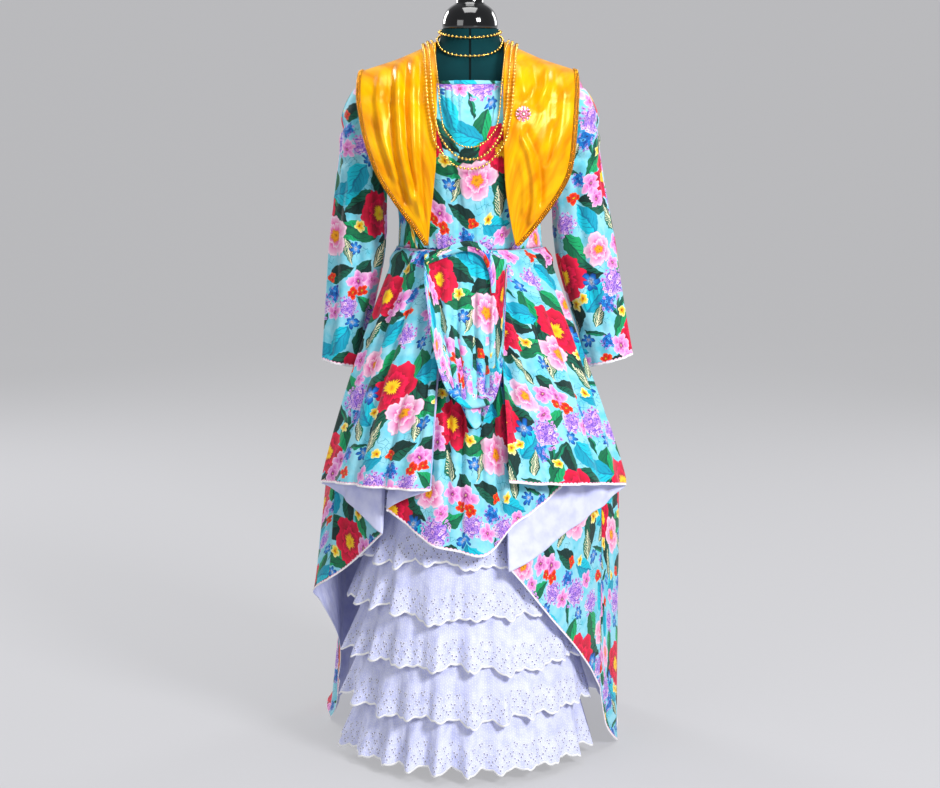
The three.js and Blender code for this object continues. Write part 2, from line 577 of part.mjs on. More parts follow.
function topEdge(top, u) {
  return { at: read(top, "at", Math.abs(u), "u") * Math.sign(u), z: read(top, "z", Math.abs(u), "u") };
}

function bodiceSheet(top, turn) {
  const across = (place) => {
    const line = [];
    for (let j = 0; j <= BODICE_COLS; j++) {
      const { at, z } = place(mix(-1, 1, j / BODICE_COLS));
      line.push(onSection(BODICE, z, turn + at));
    }
    return line;
  };
  const sheet = [];
  for (let k = 0; k < YOKE_STEPS; k++) {
    sheet.push(
      across((u) => {
        const edge = topEdge(top, u);
        const first = BODICE_LEVELS[0];
        const share = k / YOKE_STEPS;
        const turned = mix(edge.at, u * first.at, Math.pow(share, mix(1, 0.35, Math.abs(u))));
        return { at: turned, z: mix(edge.z, Math.min(first.z, edge.z - 12), share) };
      }),
    );
  }
  BODICE_LEVELS.forEach(({ z, at }) => sheet.push(across((u) => ({ at: u * at, z }))));
  return sheet;
}

// Narrow band that finishes the square neckline in front, standing on the bodice's edge.
const BAND = { cols: 2, high: 9, thick: 1.6 };
function neckband(sheet) {
  const middle = BODICE_COLS / 2;
  const line = (rise) => {
    const points = [];
    for (let j = middle - BAND.cols; j <= middle + BAND.cols; j++) {
      const up = sheet[0][j].clone().sub(sheet[1][j]).normalize();
      points.push(sheet[0][j].clone().addScaledVector(up, rise));
    }
    return points;
  };
  const edge = normalsOf(sheet, false)[0].slice(middle - BAND.cols, middle + BAND.cols + 1);
  const outwards = -(CLOTH / 2 + SEAM_GAP + BAND.thick / 2);
  return wall([line(BAND.high), line(SEAM_GAP)], BAND.thick, { lift: outwards, normals: [edge, edge] });
}

// ---- sleeves ----

const SLEEVE_SIDES = 16;
function sleeve(rows) {
  const hand = Math.sign(rows[0].x);
  const sheet = rows.map(({ x, y, z, tilt, w, d }) => {
    const up = new THREE.Vector3(hand * Math.cos(rad(tilt)), 0, Math.sin(rad(tilt)));
    const ring = [];
    for (let j = 0; j < SLEEVE_SIDES; j++) {
      const t = (2 * Math.PI * j) / SLEEVE_SIDES;
      const point = new THREE.Vector3(x, y + d * Math.sin(t), z);
      ring.push(point.addScaledVector(up, w * Math.cos(t)));
    }
    return ring;
  });
  return wall(sheet, CLOTH, { closed: true });
}

// ---- gown skirt ----

const WAIST_RING = { a: 150, b: 114 };
const HIP_POWER = 1.15; // the skirt spreads a little faster below the waist
const LAND_POWER = 1.5; // the cloth meets its hem, or the floor, more and more level

// Share of the way out from the waist to the folds at a height.
function spread(z, power = 1) {
  const down = clamp((WAIST_Z - z) / (WAIST_Z - FLARE_Z), 0, 1);
  return Math.pow(1 - Math.pow(1 - down, HIP_POWER), power);
}

function waistRadius(degrees) {
  const t = rad(degrees);
  return 1 / Math.hypot(Math.sin(t) / WAIST_RING.a, Math.cos(t) / WAIST_RING.b);
}

// Place of the cloth at a height, for one point of the skirt's path.
function skirtPoint(fold, z) {
  let radius;
  let degrees;
  if (z >= FLARE_Z) {
    radius = mix(waistRadius(fold.waistAt) + fold.waistOut, fold.midR, spread(z, fold.power));
    degrees = mix(fold.waistAt, fold.midAt, (WAIST_Z - z) / (WAIST_Z - FLARE_Z));
  } else {
    const left = (z - fold.hem) / (FLARE_Z - fold.hem);
    const down = 1 - Math.pow(clamp(left, 0, 1), 1 / LAND_POWER);
    radius = mix(fold.midR, fold.hemR, Math.pow(down, fold.sweep));
    degrees = mix(fold.midAt, fold.hemAt, down);
  }
  const turn = rad(degrees);
  return new THREE.Vector3(radius * Math.sin(turn), -radius * Math.cos(turn), Math.max(z, FLOOR_LIFT));
}

function skirtSheet(folds, rows) {
  const path = along(folds, 2);
  const sheet = [];
  for (let i = 0; i <= rows; i++) {
    const share = 1 - Math.pow(1 - i / rows, 1.2);
    sheet.push(path.map((fold) => skirtPoint(fold, mix(WAIST_Z, fold.hem, share))));
  }
  return sheet;
}

// ---- looped cloth and tuck in front of the skirt ----

const LOOP_COLS = 14;
const LOOP_ROWS = 6;

// Cloth that hangs in a loop between two points of the waist, over the front of the skirt.
function loopSheet({ left, right, top, side, depth, out, fold, folds, edge }) {
  const sheet = [];
  for (let i = 0; i <= LOOP_ROWS; i++) {
    const v = i / LOOP_ROWS;
    const line = [];
    for (let j = 0; j <= LOOP_COLS; j++) {
      const s = j / LOOP_COLS;
      const x = mix(left, right, s);
      const drop = v * (side + read(edge, "hang", s, "s") * (depth - side));
      const z = top - drop;
      const guess = THREE.MathUtils.radToDeg(Math.asin(clamp(x / mix(130, 250, spread(z)), -1, 1)));
      const flap = THREE.MathUtils.smoothstep(Math.abs(guess), 4, 18);
      const panel = mix(waistRadius(guess) + mix(9, 13, flap), mix(256, 280, flap) + Math.abs(guess) * 0.5, spread(z));
      const pleat = fold * Math.cos(2 * Math.PI * folds * s) * Math.sin(Math.PI * v);
      const reach = panel + mix(1.4, out, Math.pow(Math.sin((Math.PI / 2) * v), 0.8)) + pleat;
      line.push(new THREE.Vector3(x, -Math.sqrt(reach * reach - x * x), z));
    }
    sheet.push(line);
  }
  return sheet;
}

// Roll of cloth that arches over the waist seam where the loop is tucked in.
const TUCK = [
  { x: -88, y: -137, z: 1050, wide: 5, deep: 3 },
  { x: -52, y: -136, z: 1068, wide: 9, deep: 5 },
  { x: -8, y: -135, z: 1083, wide: 11, deep: 6 },
  { x: 28, y: -138, z: 1070, wide: 10, deep: 6 },
  { x: 44, y: -148.6, z: 1034, wide: 8, deep: 5 },
  { x: 47, y: -164.8, z: 992, wide: 4, deep: 3 },
];
function tuckRoll() {
  const sides = 8;
  const path = along(TUCK, 3);
  const outward = new THREE.Vector3(0, -1, 0);
  const points = path.flatMap(({ x, y, z, wide, deep }, i) => {
    const before = path[Math.max(i - 1, 0)];
    const after = path[Math.min(i + 1, path.length - 1)];
    const tangent = new THREE.Vector3(after.x - before.x, after.y - before.y, after.z - before.z);
    const across = tangent.cross(outward).normalize();
    const ring = [];
    for (let k = 0; k < sides; k++) {
      const turn = (2 * Math.PI * k) / sides;
      const point = new THREE.Vector3(x, y, z).addScaledVector(outward, deep * Math.cos(turn));
      ring.push(point.addScaledVector(across, wide * Math.sin(turn)));
    }
    return ring;
  });
  return solid(points, ringFaces(path.length, sides));
}

// ---- petticoat ----

const PETTICOAT_SIDES = 28;
function petticoatBody() {
  const sheet = PETTICOAT.map(({ z }) => {
    const ring = [];
    for (let j = 0; j < PETTICOAT_SIDES; j++) ring.push(onSection(PETTICOAT, z, (360 * j) / PETTICOAT_SIDES));
    return ring;
  });
  return wall(sheet, LAWN, { closed: true });
}

function flounce({ hem, out, wave, waves }) {
  const around = waves * 4;
  const head = LAWN + SEAM_GAP;
  const rings = [[], []];
  for (let j = 0; j < around; j++) {
    const degrees = (360 * j) / around;
    const crest = Math.cos((Math.PI / 2) * j);
    rings[0].push(onSection(PETTICOAT, hem + FLOUNCE_DEPTH, degrees, head));
    rings[1].push(onSection(PETTICOAT, hem + SCALLOP * (1 - crest), degrees, out + wave * crest));
  }
  return wall(rings, LAWN, { closed: true });
}

// ---- shoulder scarf ----

// Depth of a sheet laid over bodice and sleeve heads at a width and height, in front or behind.
function reachAt(x, z, back) {
  const level = clamp(z, 1072.5, CHEST_Z);
  const section = 1 - Math.pow(Math.abs(x) / 272, 2.3);
  const shift = read(BODICE, "y", level) * (back ? 1 : -1);
  const waist = back ? 16 * clamp((1140 - z) / 80, 0, 1) : 0; // clears the gathers under the back point
  return shift + read(BODICE, "b", level) * Math.pow(Math.max(section, 0), 1 / 2.3) + waist;
}

// A point over the body at a width x and a run q, as in the scarf's table, raised off the bodice by lift.
function onBody(x, q, lift) {
  const back = q < 0;
  const run = Math.abs(q);
  const turn = (Math.PI / 2) * Math.min(run, 1);
  const ridge = read(RIDGE, "z", Math.abs(x), "x") - SCARF_LIFT;
  const z = run < 1 ? mix(CHEST_Z, ridge, Math.cos(turn)) : CHEST_Z - 100 * (run - 1);
  const deep = reachAt(x, z, back);
  const y = mix(back ? RIDGE_Y : -RIDGE_Y, deep, Math.sin(turn)) + lift * Math.sin(turn);
  return new THREE.Vector3(x, back ? y : -y, z + lift * Math.cos(turn));
}

const SCARF_ROWS = 7;
function scarfSheet() {
  const lines = SCARF.map(({ inX, inQ, outX, outQ }) => {
    const point = (s) => {
      const q = mix(inQ, outQ, s);
      const fold = q > 1 ? 3 * Math.sin(2 * Math.PI * (1.5 * s + 0.1)) * Math.min(q - 1, 1, 3.9 - q) : 0;
      return onBody(mix(inX, outX, s), q, SCARF_LIFT + fold);
    };
    const width = point(0).distanceTo(point(0.5)) + point(0.5).distanceTo(point(1));
    const plain = 1 - Math.min(BRAID.width / width, 0.4);
    const line = [];
    for (let i = 0; i < SCARF_ROWS - 1; i++) line.push(point((plain * i) / (SCARF_ROWS - 2)));
    return [...line, point(1)];
  });
  return lines[0].map((_, i) => lines.map((line) => line[i]));
}

// Braid that lies on the scarf's last strip, along its outer edge.
function braid(sheet) {
  const lift = SATIN / 2 + SEAM_GAP + BRAID.thick / 2;
  return wall(sheet.slice(-2), BRAID.thick, { lift, normals: normalsOf(sheet, false).slice(-2) });
}

// ---- jewellery ----

function shortStrand({ bead, frontZ, backZ, clear }) {
  const points = [];
  for (let k = 0; k < 12; k++) {
    const degrees = 30 * k;
    const z = mix(backZ, frontZ, Math.pow(0.5 + 0.5 * Math.cos(rad(degrees)), 2.2));
    points.push(onSection(TORSO, z, degrees, bead + clear));
  }
  return loopTube(points, bead, 6);
}

function longStrand({ bead, lowZ, shoulderX, chestX, bendX, nape }) {
  const lift = SCARF_LIFT + SATIN / 2 + SEAM_GAP + bead + 3;
  const run = (z) => 1 + (CHEST_Z - z) / 100;
  const low = run(lowZ);
  const half = [
    [shoulderX * 0.5, -nape * 0.94],
    [shoulderX * 0.88, -nape * 0.6],
    [shoulderX, 0],
    [mix(shoulderX, chestX, 0.5), 0.45],
    [chestX, 0.9],
    [mix(chestX, bendX, 0.4), mix(1, low, 0.3)],
    [bendX, mix(1, low, 0.62)],
    [bendX * 0.52, mix(1, low, 0.92)],
  ];
  const left = half.map(([x, q]) => onBody(x, q, lift));
  const right = half.map(([x, q]) => onBody(-x, q, lift)).reverse();
  return loopTube([onBody(0, -nape, lift), ...left, onBody(0, low, lift), ...right], bead, 6);
}

const BROOCH = { x: 106, z: 1346, petals: 8, r: 17, waist: 13, high: 5.5 };
function brooch() {
  const { petals, r, waist, high } = BROOCH;
  const around = petals * 4;
  const levels = [
    { share: 1, y: 0 },
    { share: 0.98, y: 0.45 * high },
    { share: 0.5, y: high },
  ];
  const points = levels.flatMap(({ share, y }) => {
    const ring = [];
    for (let j = 0; j < around; j++) {
      const turn = (2 * Math.PI * j) / around;
      const reach = mix(waist, r, 0.5 + 0.5 * Math.cos(petals * turn)) * share;
      ring.push(new THREE.Vector3(reach * Math.sin(turn), -y, reach * Math.cos(turn)));
    }
    return ring;
  });
  const geometry = solid(points, ringFaces(levels.length, around));
  geometry.rotateZ(rad(17));
  const seat = onBody(BROOCH.x, 1 + (CHEST_Z - BROOCH.z) / 100, SCARF_LIFT);
  geometry.translate(seat.x, seat.y - 3.2, seat.z);
  return geometry;
}

// ---- assembly ----

const FINISH = {
  jersey: { color: 0x0d4f52, roughness: 0.85, metalness: 0 },
  gloss: { color: 0x101012, roughness: 0.2, metalness: 0 },
  steel: { color: 0x9a9ca0, roughness: 0.35, metalness: 1 },
  print: { color: 0x7fd6dd, roughness: 0.7, metalness: 0 },
  eyelet: { color: 0xf1f0fb, roughness: 0.9, metalness: 0 },
  satin: { color: 0xf5b916, roughness: 0.35, metalness: 0 },
  gilt: { color: 0xc8933a, roughness: 0.35, metalness: 0.8 },
};

const dress = new THREE.Group();

function add(name, geometry, finish) {
  const mesh = new THREE.Mesh(geometry, new THREE.MeshStandardMaterial(FINISH[finish]));
  mesh.name = name;
  dress.add(mesh);
}

add("form_foot", turned(FOOT, 24), "gloss");
add("form_pole", pole(), "steel");
add("form_torso", torso(), "jersey");
add("form_neck_cap", neckCap(), "gloss");

const bodiceFront = bodiceSheet(FRONT_TOP, 0);
add("bodice_front", wall(bodiceFront, CLOTH), "print");
add("bodice_back", wall(bodiceSheet(BACK_TOP, 180), CLOTH), "print");
add("neckband", neckband(bodiceFront), "print");
add("sleeve_left", sleeve(SLEEVE_LEFT), "print");
add("sleeve_right", sleeve(SLEEVE_RIGHT), "print");

add("skirt_front", wall(skirtSheet(SKIRT_FRONT, 5), CLOTH), "print");
add("skirt_right", wall(skirtSheet(SKIRT_RIGHT, 6), CLOTH), "print");
add("skirt_left", wall(skirtSheet(SKIRT_LEFT, 7), CLOTH), "print");
add("skirt_back", wall(skirtSheet(SKIRT_BACK, 8), CLOTH), "print");
add("front_loop", wall(loopSheet(LOOP), CLOTH), "print");
add("front_loop_under", wall(loopSheet(LOOP_UNDER), CLOTH), "print");
add("tuck_roll", tuckRoll(), "print");

add("petticoat_body", petticoatBody(), "eyelet");
FLOUNCES.forEach((row, i) => add(`flounce_${i + 1}`, flounce(row), "eyelet"));

const scarf = scarfSheet();
add("scarf", wall(scarf, SATIN), "satin");
add("braid", braid(scarf), "gilt");

SHORT_STRANDS.forEach((row) => add(row.name, shortStrand(row), "gilt"));
LONG_STRANDS.forEach((row) => add(row.name, longStrand(row), "gilt"));
add("brooch", brooch(), "gilt");

export default dress;
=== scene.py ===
"""A Creole gala dress on a limbless dress form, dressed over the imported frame.

The gown is printed cotton, hitched up in front and trailing behind, over a petticoat of broderie anglaise
flounces. A satin shoulder scarf edged with sequin braid, a rosette brooch and gilt bead strands lie over it.
Sizes are in millimetres until a mesh is made. Angles run round +Z from the front (-Y), positive towards +X,
and the wearer faces -Y.
"""

import logging
import math
from dataclasses import dataclass
from enum import Enum

import bpy
import numpy as np
from bpy.types import Material, Node, NodeSocket, NodeTree, Object
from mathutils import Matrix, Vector

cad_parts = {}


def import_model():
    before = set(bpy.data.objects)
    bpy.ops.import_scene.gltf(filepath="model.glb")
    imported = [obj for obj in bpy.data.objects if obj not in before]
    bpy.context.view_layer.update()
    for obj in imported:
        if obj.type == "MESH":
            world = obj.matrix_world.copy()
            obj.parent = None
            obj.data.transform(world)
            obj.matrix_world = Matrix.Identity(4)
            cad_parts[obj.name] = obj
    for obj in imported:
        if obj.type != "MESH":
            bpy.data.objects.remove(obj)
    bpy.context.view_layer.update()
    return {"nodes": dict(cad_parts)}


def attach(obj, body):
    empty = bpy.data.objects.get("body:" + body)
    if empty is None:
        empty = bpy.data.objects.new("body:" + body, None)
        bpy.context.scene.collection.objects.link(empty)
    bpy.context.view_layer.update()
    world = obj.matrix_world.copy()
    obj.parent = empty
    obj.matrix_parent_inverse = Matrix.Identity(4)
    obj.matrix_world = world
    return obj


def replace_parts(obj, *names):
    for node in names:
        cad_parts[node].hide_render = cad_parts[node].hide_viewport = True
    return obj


Array = np.ndarray
LOG = logging.getLogger("dress")

MM = 0.001  # metres in a millimetre

# ---- driving sizes ----

WAIST_Z = 1072.0  # waist seam of the gown
FLARE_Z = 590.0  # level at which the skirt's folds are laid out
FLOOR_LIFT = 1.5  # middle of the cloth that lies on the floor
NECKLINE_Z = 1404.0  # square neckline at the centre front
RIDGE_Y = 6.0  # top of the shoulders, fore and aft
CHEST_Z = 1370.0  # level where the scarf leaves the shoulder's curve
SCARF_LIFT = 11.0  # the satin stands this far off the bodice
COTTON = 1.2  # thickness of the printed cotton
LAWN = 0.9  # thickness of the petticoat cotton
SATIN = 0.9  # thickness of the scarf


# ---- tables of named columns ----


def catmull_rom(p: Array, q: Array, r: Array, s: Array, t: Array) -> Array:
    """The curve from q to r at a share t, whose slopes there are half of r - p and of s - q."""
    return 0.5 * (2 * q + (r - p) * t + (2 * p - 5 * q + 4 * r - s) * t**2 + (3 * q - p - 3 * r + s) * t**3)


@dataclass(frozen=True)
class Table:
    """Rows of numbers under named columns."""

    names: str
    rows: tuple[tuple[float, ...], ...]

    def column(self, name: str) -> Array:
        """One named column as an array."""
        place = self.names.split().index(name)
        return np.array([row[place] for row in self.rows], float)

    def eased(self, name: str, at: Array | float, along: str = "z") -> Array:
        """Reads a column at places along another, by cubics that never overshoot the rows.

        Between two rows the curve is a Hermite cubic. Its tangent at a row is the harmonic mean of the slopes
        on both sides, or zero where they change sign.

        Args:
            name: The column to read.
            at: Places along the other column.
            along: The column that orders the rows.

        Returns:
            The eased values, shaped as `at`.
        """
        order = np.argsort(self.column(along))
        x, v = self.column(along)[order], self.column(name)[order]
        slope = np.diff(v) / np.diff(x)
        tangent = np.zeros_like(v)
        tangent[0], tangent[-1] = slope[0], slope[-1]
        before, after = slope[:-1], slope[1:]
        same = before * after > 0
        inner = tangent[1:-1]
        inner[same] = 2 * before[same] * after[same] / (before[same] + after[same])
        at = np.clip(np.asarray(at, float), x[0], x[-1])
        i = np.clip(np.searchsorted(x, at, side="right") - 1, 0, len(x) - 2)
        h = x[i + 1] - x[i]
        t = (at - x[i]) / h
        return (
            (2 * t**3 - 3 * t**2 + 1) * v[i]
            + (t**3 - 2 * t**2 + t) * h * tangent[i]
            + (3 * t**2 - 2 * t**3) * v[i + 1]
            + (t**3 - t**2) * h * tangent[i + 1]
        )

    def through(self, places: Array) -> dict[str, Array]:
        """Reads every column on a Catmull-Rom curve through the rows.

        Args:
            places: Row numbers with fractions, from 0 to the last row.

        Returns:
            A smooth array for each column name.
        """
        rows = np.array(self.rows, float)
        last = len(rows) - 1
        i = np.clip(np.floor(places).astype(int), 0, last - 1)
        t = (places - i)[:, None]
        made = catmull_rom(rows[np.maximum(i - 1, 0)], rows[i], rows[i + 1], rows[np.minimum(i + 2, last)], t)
        return {name: made[:, k] for k, name in enumerate(self.names.split())}


# Torso of the form: half width, half depth and fore-and-aft shift at each height.
TORSO = Table("z a b y", (
    (822, 142, 98, 5), (835, 159, 111, 5), (868, 165, 117, 5), (920, 161, 113, 5), (1000, 142, 101, 3),
    (1072, 126, 90, 0), (1130, 132, 94, -1), (1200, 146, 104, -7), (1270, 160, 113, -10),
    (1320, 171, 109, -8), (1370, 179, 98, -4), (1400, 174, 87, 0), (1425, 164, 79.5, 0),
    (1442, 137.7, 72.6, 2), (1456, 107.2, 66.5, 4), (1472, 76, 61, 6), (1490, 62, 58, 8),
    (1515, 58, 56, 10),
))

# Bodice, set off from the torso, fuller at the waist where it is gathered in.
BODICE = Table("z a b y", (
    (1072.5, 149, 113, 0), (1092, 148, 112, -1), (1130, 146, 109, -2), (1200, 155, 114, -7),
    (1270, 168, 121, -10), (1320, 178, 117, -8), (1370, 186, 105, -4), (1400, 182, 95, 0),
    (1425, 171, 88, 0), (1442, 146, 81, 2), (1456, 118, 75, 4), (1474, 87, 70, 6),
))

# Petticoat's plain body under the flounces.
PETTICOAT = Table("z a b y", (
    (1078, 127.6, 91.6, 0), (1066, 129, 93, 0), (980, 153, 111, 3), (900, 171, 124, 5), (850, 177, 132, 4),
    (700, 190, 156, 0), (500, 206, 186, -9), (260, 219, 208, -18), (32, 227, 219, -25),
))

# Eyelet flounces from the top: hem height, mean stand-off and wave height at the hem, and number of waves.
FLOUNCES = Table("hem out wave waves cut", (
    (533, 13, 6, 14, 1.5), (430, 15, 7, 15, 1.58), (327, 17, 8, 16, 1.66), (223, 19, 9, 17, 1.72),
    (119, 20, 10, 18, 1.76), (15, 20, 11, 19, 1.8),
))

# Gown skirt: one row for each point of the cloth's path round the body, seen from above, at the waist, at
# FLARE_Z and at its hem. power above 1 keeps a stretch in close at the hip, and sweep keeps it in until it
# nears the hem. Paths double back where the cloth falls in a cascade.
FOLD_NAMES = "waistAt waistOut midAt midR hemAt hemR hem power sweep"
SKIRT_FRONT = Table(FOLD_NAMES, (
    (-20, 8, -17, 272, -17, 272, 606, 1, 1), (-36, 5.5, -30, 266, -30, 266.42, 583, 1, 1),
    (-46, 4, -39, 262, -39, 263.8, 560, 1, 1), (-47, 2.2, -41, 256, -41, 258.34, 551, 1, 1),
    (-45, 0.4, -39, 250, -39, 252.64, 546, 1, 1), (-30, 0, -26, 246, -26, 250.68, 512, 1, 1),
    (-18, 1, -17, 252, -17, 258, 490, 1, 1), (-8, 0, -6, 243, -6, 249.66, 479, 1, 1),
    (2, 1, 4, 250, 4, 257.2, 470, 1, 1), (10, 0, 11, 242, 11, 248.54, 481, 1, 1),
    (20, 0.6, 20, 250, 20, 253.72, 528, 1, 1), (38, 0, 36, 252, 36, 253.44, 566, 1, 1),
    (50, 0.4, 45, 254, 45, 254.12, 588, 1, 1), (52, 2.2, 47, 259, 47, 259, 596, 1, 1),
    (50, 4, 45, 264, 45, 264, 604, 1, 1), (34, 5.6, 30, 268, 30, 268, 612, 1, 1),
    (20, 7.2, 18, 272, 18, 272, 620, 1, 1),
))
SKIRT_RIGHT = Table(FOLD_NAMES, (
    (-21, 12, -17, 281, -17, 281, 606, 1, 1), (-40, 12, -34, 293, -34, 293, 604, 1, 1),
    (-58, 12, -55, 306, -55, 306, 600, 1, 1), (-74, 11.5, -73, 319, -73, 319, 590, 1, 1),
    (-77, 8.5, -77, 316, -77, 316, 584, 1, 1), (-74, 6, -74, 306, -74, 306, 578, 1, 1),
    (-66, 5, -60, 276, -60, 277, 545, 1, 1), (-56, 4.2, -48, 257, -48, 259, 509, 1, 1),
    (-55, 2.2, -45.5, 250, -45.5, 254, 502, 1, 1), (-57, 0.4, -48, 243, -48, 250, 492, 1, 1),
    (-70, 0, -66, 258, -66, 268, 424, 1.2, 1), (-79, 0, -77, 288, -77, 306, 378, 1.5, 1),
))
SKIRT_LEFT = Table(FOLD_NAMES, (
    (21, 12, 16.5, 276, 16.5, 276, 622, 1, 1), (40, 12, 34, 292, 34, 292, 612, 1, 1),
    (58, 12, 56, 309, 56, 309, 600, 1, 1), (76, 11.5, 77, 331, 77, 331, 581, 1, 1),
    (80, 8.5, 80.5, 328, 80.5, 328, 573, 1, 1), (77, 6, 77, 315, 77, 315, 562, 1, 1),
    (66, 4.2, 62, 276, 62, 277, 524, 1, 1), (56, -2.4, 50, 247, 50, 251, 497, 1, 1),
    (40, -3.2, 34, 241, 34, 250, 463, 1, 1), (24, -3.2, 21, 240, 20, 258, 441, 1, 1),
    (22, -4.6, 18.5, 235, 18, 254, 437, 1, 1), (24, -6.2, 21, 229, 21, 249, 430, 1, 1),
    (46, -6.4, 42, 231, 41, 254, 326, 1, 0.8), (66, -4, 64, 252, 62, 269, 224, 1.1, 0.8),
    (82, 0, 80, 280, 76, 282, 146, 1.4, 1),
))
SKIRT_BACK = Table(FOLD_NAMES, (
    (-79.2, 0, -77.2, 288, -77.2, 306.5, 377, 1.5, 1), (-86.5, 1, -85.8, 306, -86.3, 334, 343, 1.7, 1),
    (-90, 0.8, -89.8, 303, -90.5, 318, 312, 1.7, 1), (-94, 0.3, -94, 290, -95, 284, 226, 1.55, 1),
    (-99, 0, -101, 288, -101, 292, 130, 1.5, 1.2), (-106, 1.5, -111, 298, -119, 356, 0, 1.55, 1),
    (-115, 0, -121, 280, -129, 420, 0, 1.45, 1), (-125, 1.5, -132, 292, -139, 486, 0, 1.3, 1),
    (-136, 0, -143, 266, -149, 498, 0, 1.2, 1), (-148, 1.5, -154, 282, -159, 530, 0, 1.15, 1),
    (-160, 0, -165, 258, -169, 528, 0, 1.1, 1), (-172, 1.5, -175, 276, -178, 552, 0, 1.1, 1),
    (-184, 0, -186, 258, -188, 530, 0, 1.1, 1), (-196, 1.5, -197, 278, -198, 536, 0, 1.15, 1),
    (-208, 0, -208, 266, -208, 502, 0, 1.2, 1), (-220, 1.5, -219, 290, -219, 494, 0, 1.3, 1),
    (-232, 0, -231, 282, -230, 424, 0, 1.4, 1), (-243, 1.5, -242, 304, -242, 372, 0, 1.55, 1),
    (-254, 0, -254, 304, -256, 330, 0, 1.6, 1), (-264, 0.6, -264.5, 318, -268, 316, 4, 1.65, 1.3),
    (-272, 0.4, -274, 304, -278, 292, 56, 1.6, 1), (-277.6, 0, -279.6, 280.4, -283.8, 282.4, 145, 1.4, 1),
))

# Sleeve rings: centre, tilt from level, half width across the arm and half depth.
SLEEVE_LEFT = Table("x y z tilt w d", (
    (172.7, -1, 1374, 100, 57, 52), (186, 0, 1375, 86, 61, 54), (203, 3, 1354, 67, 60, 55),
    (217, 6, 1310, 40, 60, 54), (220, 8, 1250, 20, 54, 51), (226, 10, 1165, 13, 58, 49),
    (237, 14, 1075, 12, 64, 47), (255, 20, 985, 12, 60, 45), (275, 25, 900, 12, 54, 43),
    (291, 28, 828, 14, 52, 41),
))
SLEEVE_RIGHT = Table("x y z tilt w d", (
    (-172.7, -1, 1374, 100, 57, 52), (-186, 0, 1375, 86, 61, 54), (-203, 3, 1354, 67, 60, 55),
    (-217, 6, 1310, 40, 60, 54), (-221, 8, 1250, 20, 54, 51), (-226, 10, 1165, 13, 57, 49),
    (-232, 14, 1075, 9, 61, 47), (-244, 20, 985, 9, 56, 45), (-256, 25, 900, 9, 50, 43),
    (-265, 28, 822, 10, 47, 41),
))

# Shoulder scarf: a row for each line across it, from the wearer's right front point over the shoulder, round
# the back and down to the left front point. Each end has a width x and a run q, which is 0 on top of the
# shoulder and 1 at CHEST_Z, and grows by 1 for each 100 mm down. Negative runs lie on the back.
SCARF = Table("inX inQ outX outQ", (
    (-84, 3.87, -92, 3.88), (-81, 3.45, -117, 3.52), (-74, 2.85, -154, 3.02), (-68, 2.2, -189, 2.46),
    (-67, 1.6, -213, 1.8), (-66, 1, -228, 1.08), (-67, 0.66, -230, 0.7), (-69, 0.33, -229, 0.34),
    (-70, 0, -227, 0), (-66, -0.13, -227, -0.34), (-58, -0.24, -225, -0.7), (-48, -0.33, -217, -1.1),
    (-37, -0.4, -186, -1.75), (-25, -0.44, -142, -2.45), (-13, -0.46, -80, -3.1), (0, -0.47, 0, -3.5),
    (13, -0.46, 80, -3.1), (25, -0.44, 142, -2.45), (37, -0.4, 186, -1.75), (48, -0.33, 213, -1.1),
    (58, -0.24, 219, -0.7), (66, -0.13, 220, -0.34), (70, 0, 220, 0), (69, 0.33, 221, 0.34),
    (67, 0.66, 221, 0.7), (66, 1, 219, 1.08), (67, 1.6, 214, 1.8), (68, 2.2, 203, 2.46),
    (73, 2.85, 172, 3.02), (83, 3.45, 134, 3.52), (92, 3.87, 101, 3.88),
))
# Top of the scarf over the shoulder.
RIDGE = Table("x z", ((0, 1500), (66, 1490), (110, 1470), (150, 1453), (190, 1440), (230, 1427)))

# Upper edge of the bodice over half its width (u): angle from the middle and height.
FRONT_TOP = Table("u at z", (
    (0, 0, NECKLINE_Z), (0.31, 27, NECKLINE_Z + 2), (0.44, 39, NECKLINE_Z + 32), (0.55, 62, 1462),
    (0.66, 89.5, 1474), (0.83, 89.5, 1458), (1, 89.5, 1434),
))
BACK_TOP = Table(
    "u at z",
    ((0, 0, 1450), (0.4, 56, 1456), (0.6, 89.5, 1474), (0.8, 89.5, 1458), (1, 89.5, 1434)),
)
# Angle of the armhole edge or side seam below it.
BODICE_SIDE = Table(
    "z at",
    ((1390, 60), (1345, 65), (1324, 76), (1304, 89.5), (1270, 89.5), (1200, 89.5), (1072.5, 89.5)),
)

# Lower edge of the loop of skirt cloth: share of its depth over its width.
LOOP_EDGE = Table(
    "s hang",
    ((0, 0), (0.1, 0.46), (0.2, 0.73), (0.33, 0.9), (0.55, 1), (0.8, 0.96), (0.93, 0.74), (1, 0)),
)
UNDER_EDGE = Table("s hang", ((0, 0), (0.3, 0.55), (0.6, 1), (0.85, 0.62), (1, 0)))

# Roll of cloth that arches over the waist seam where the loop is tucked in.
TUCK = Table("x y z wide deep", (
    (-88, -137, 1050, 5, 3), (-52, -136, 1068, 9, 5), (-8, -135, 1083, 11, 6), (28, -138, 1070, 10, 6),
    (44, -148.6, 1034, 8, 5), (47, -164.8, 992, 4, 3),
))

# Long bead strands: bead radius, lowest point, width on the shoulder, on the chest and at the bend, and run
# at the nape.
LONG_STRANDS = Table(
    "bead lowZ shoulderX chestX bendX nape",
    ((2.2, 1281, 79, 62, 50, 0.5), (3, 1257, 87, 76, 58, 0.58), (3, 1238, 96, 86, 68, 0.67)),
)
# Short strands round the form's neck: bead radius, heights in front and behind, and clearance.
SHORT_STRANDS = Table("bead frontZ backZ clear", ((3, 1497, 1512, 1.2), (3, 1460, 1504, 2.5)))


# ---- numbers ----


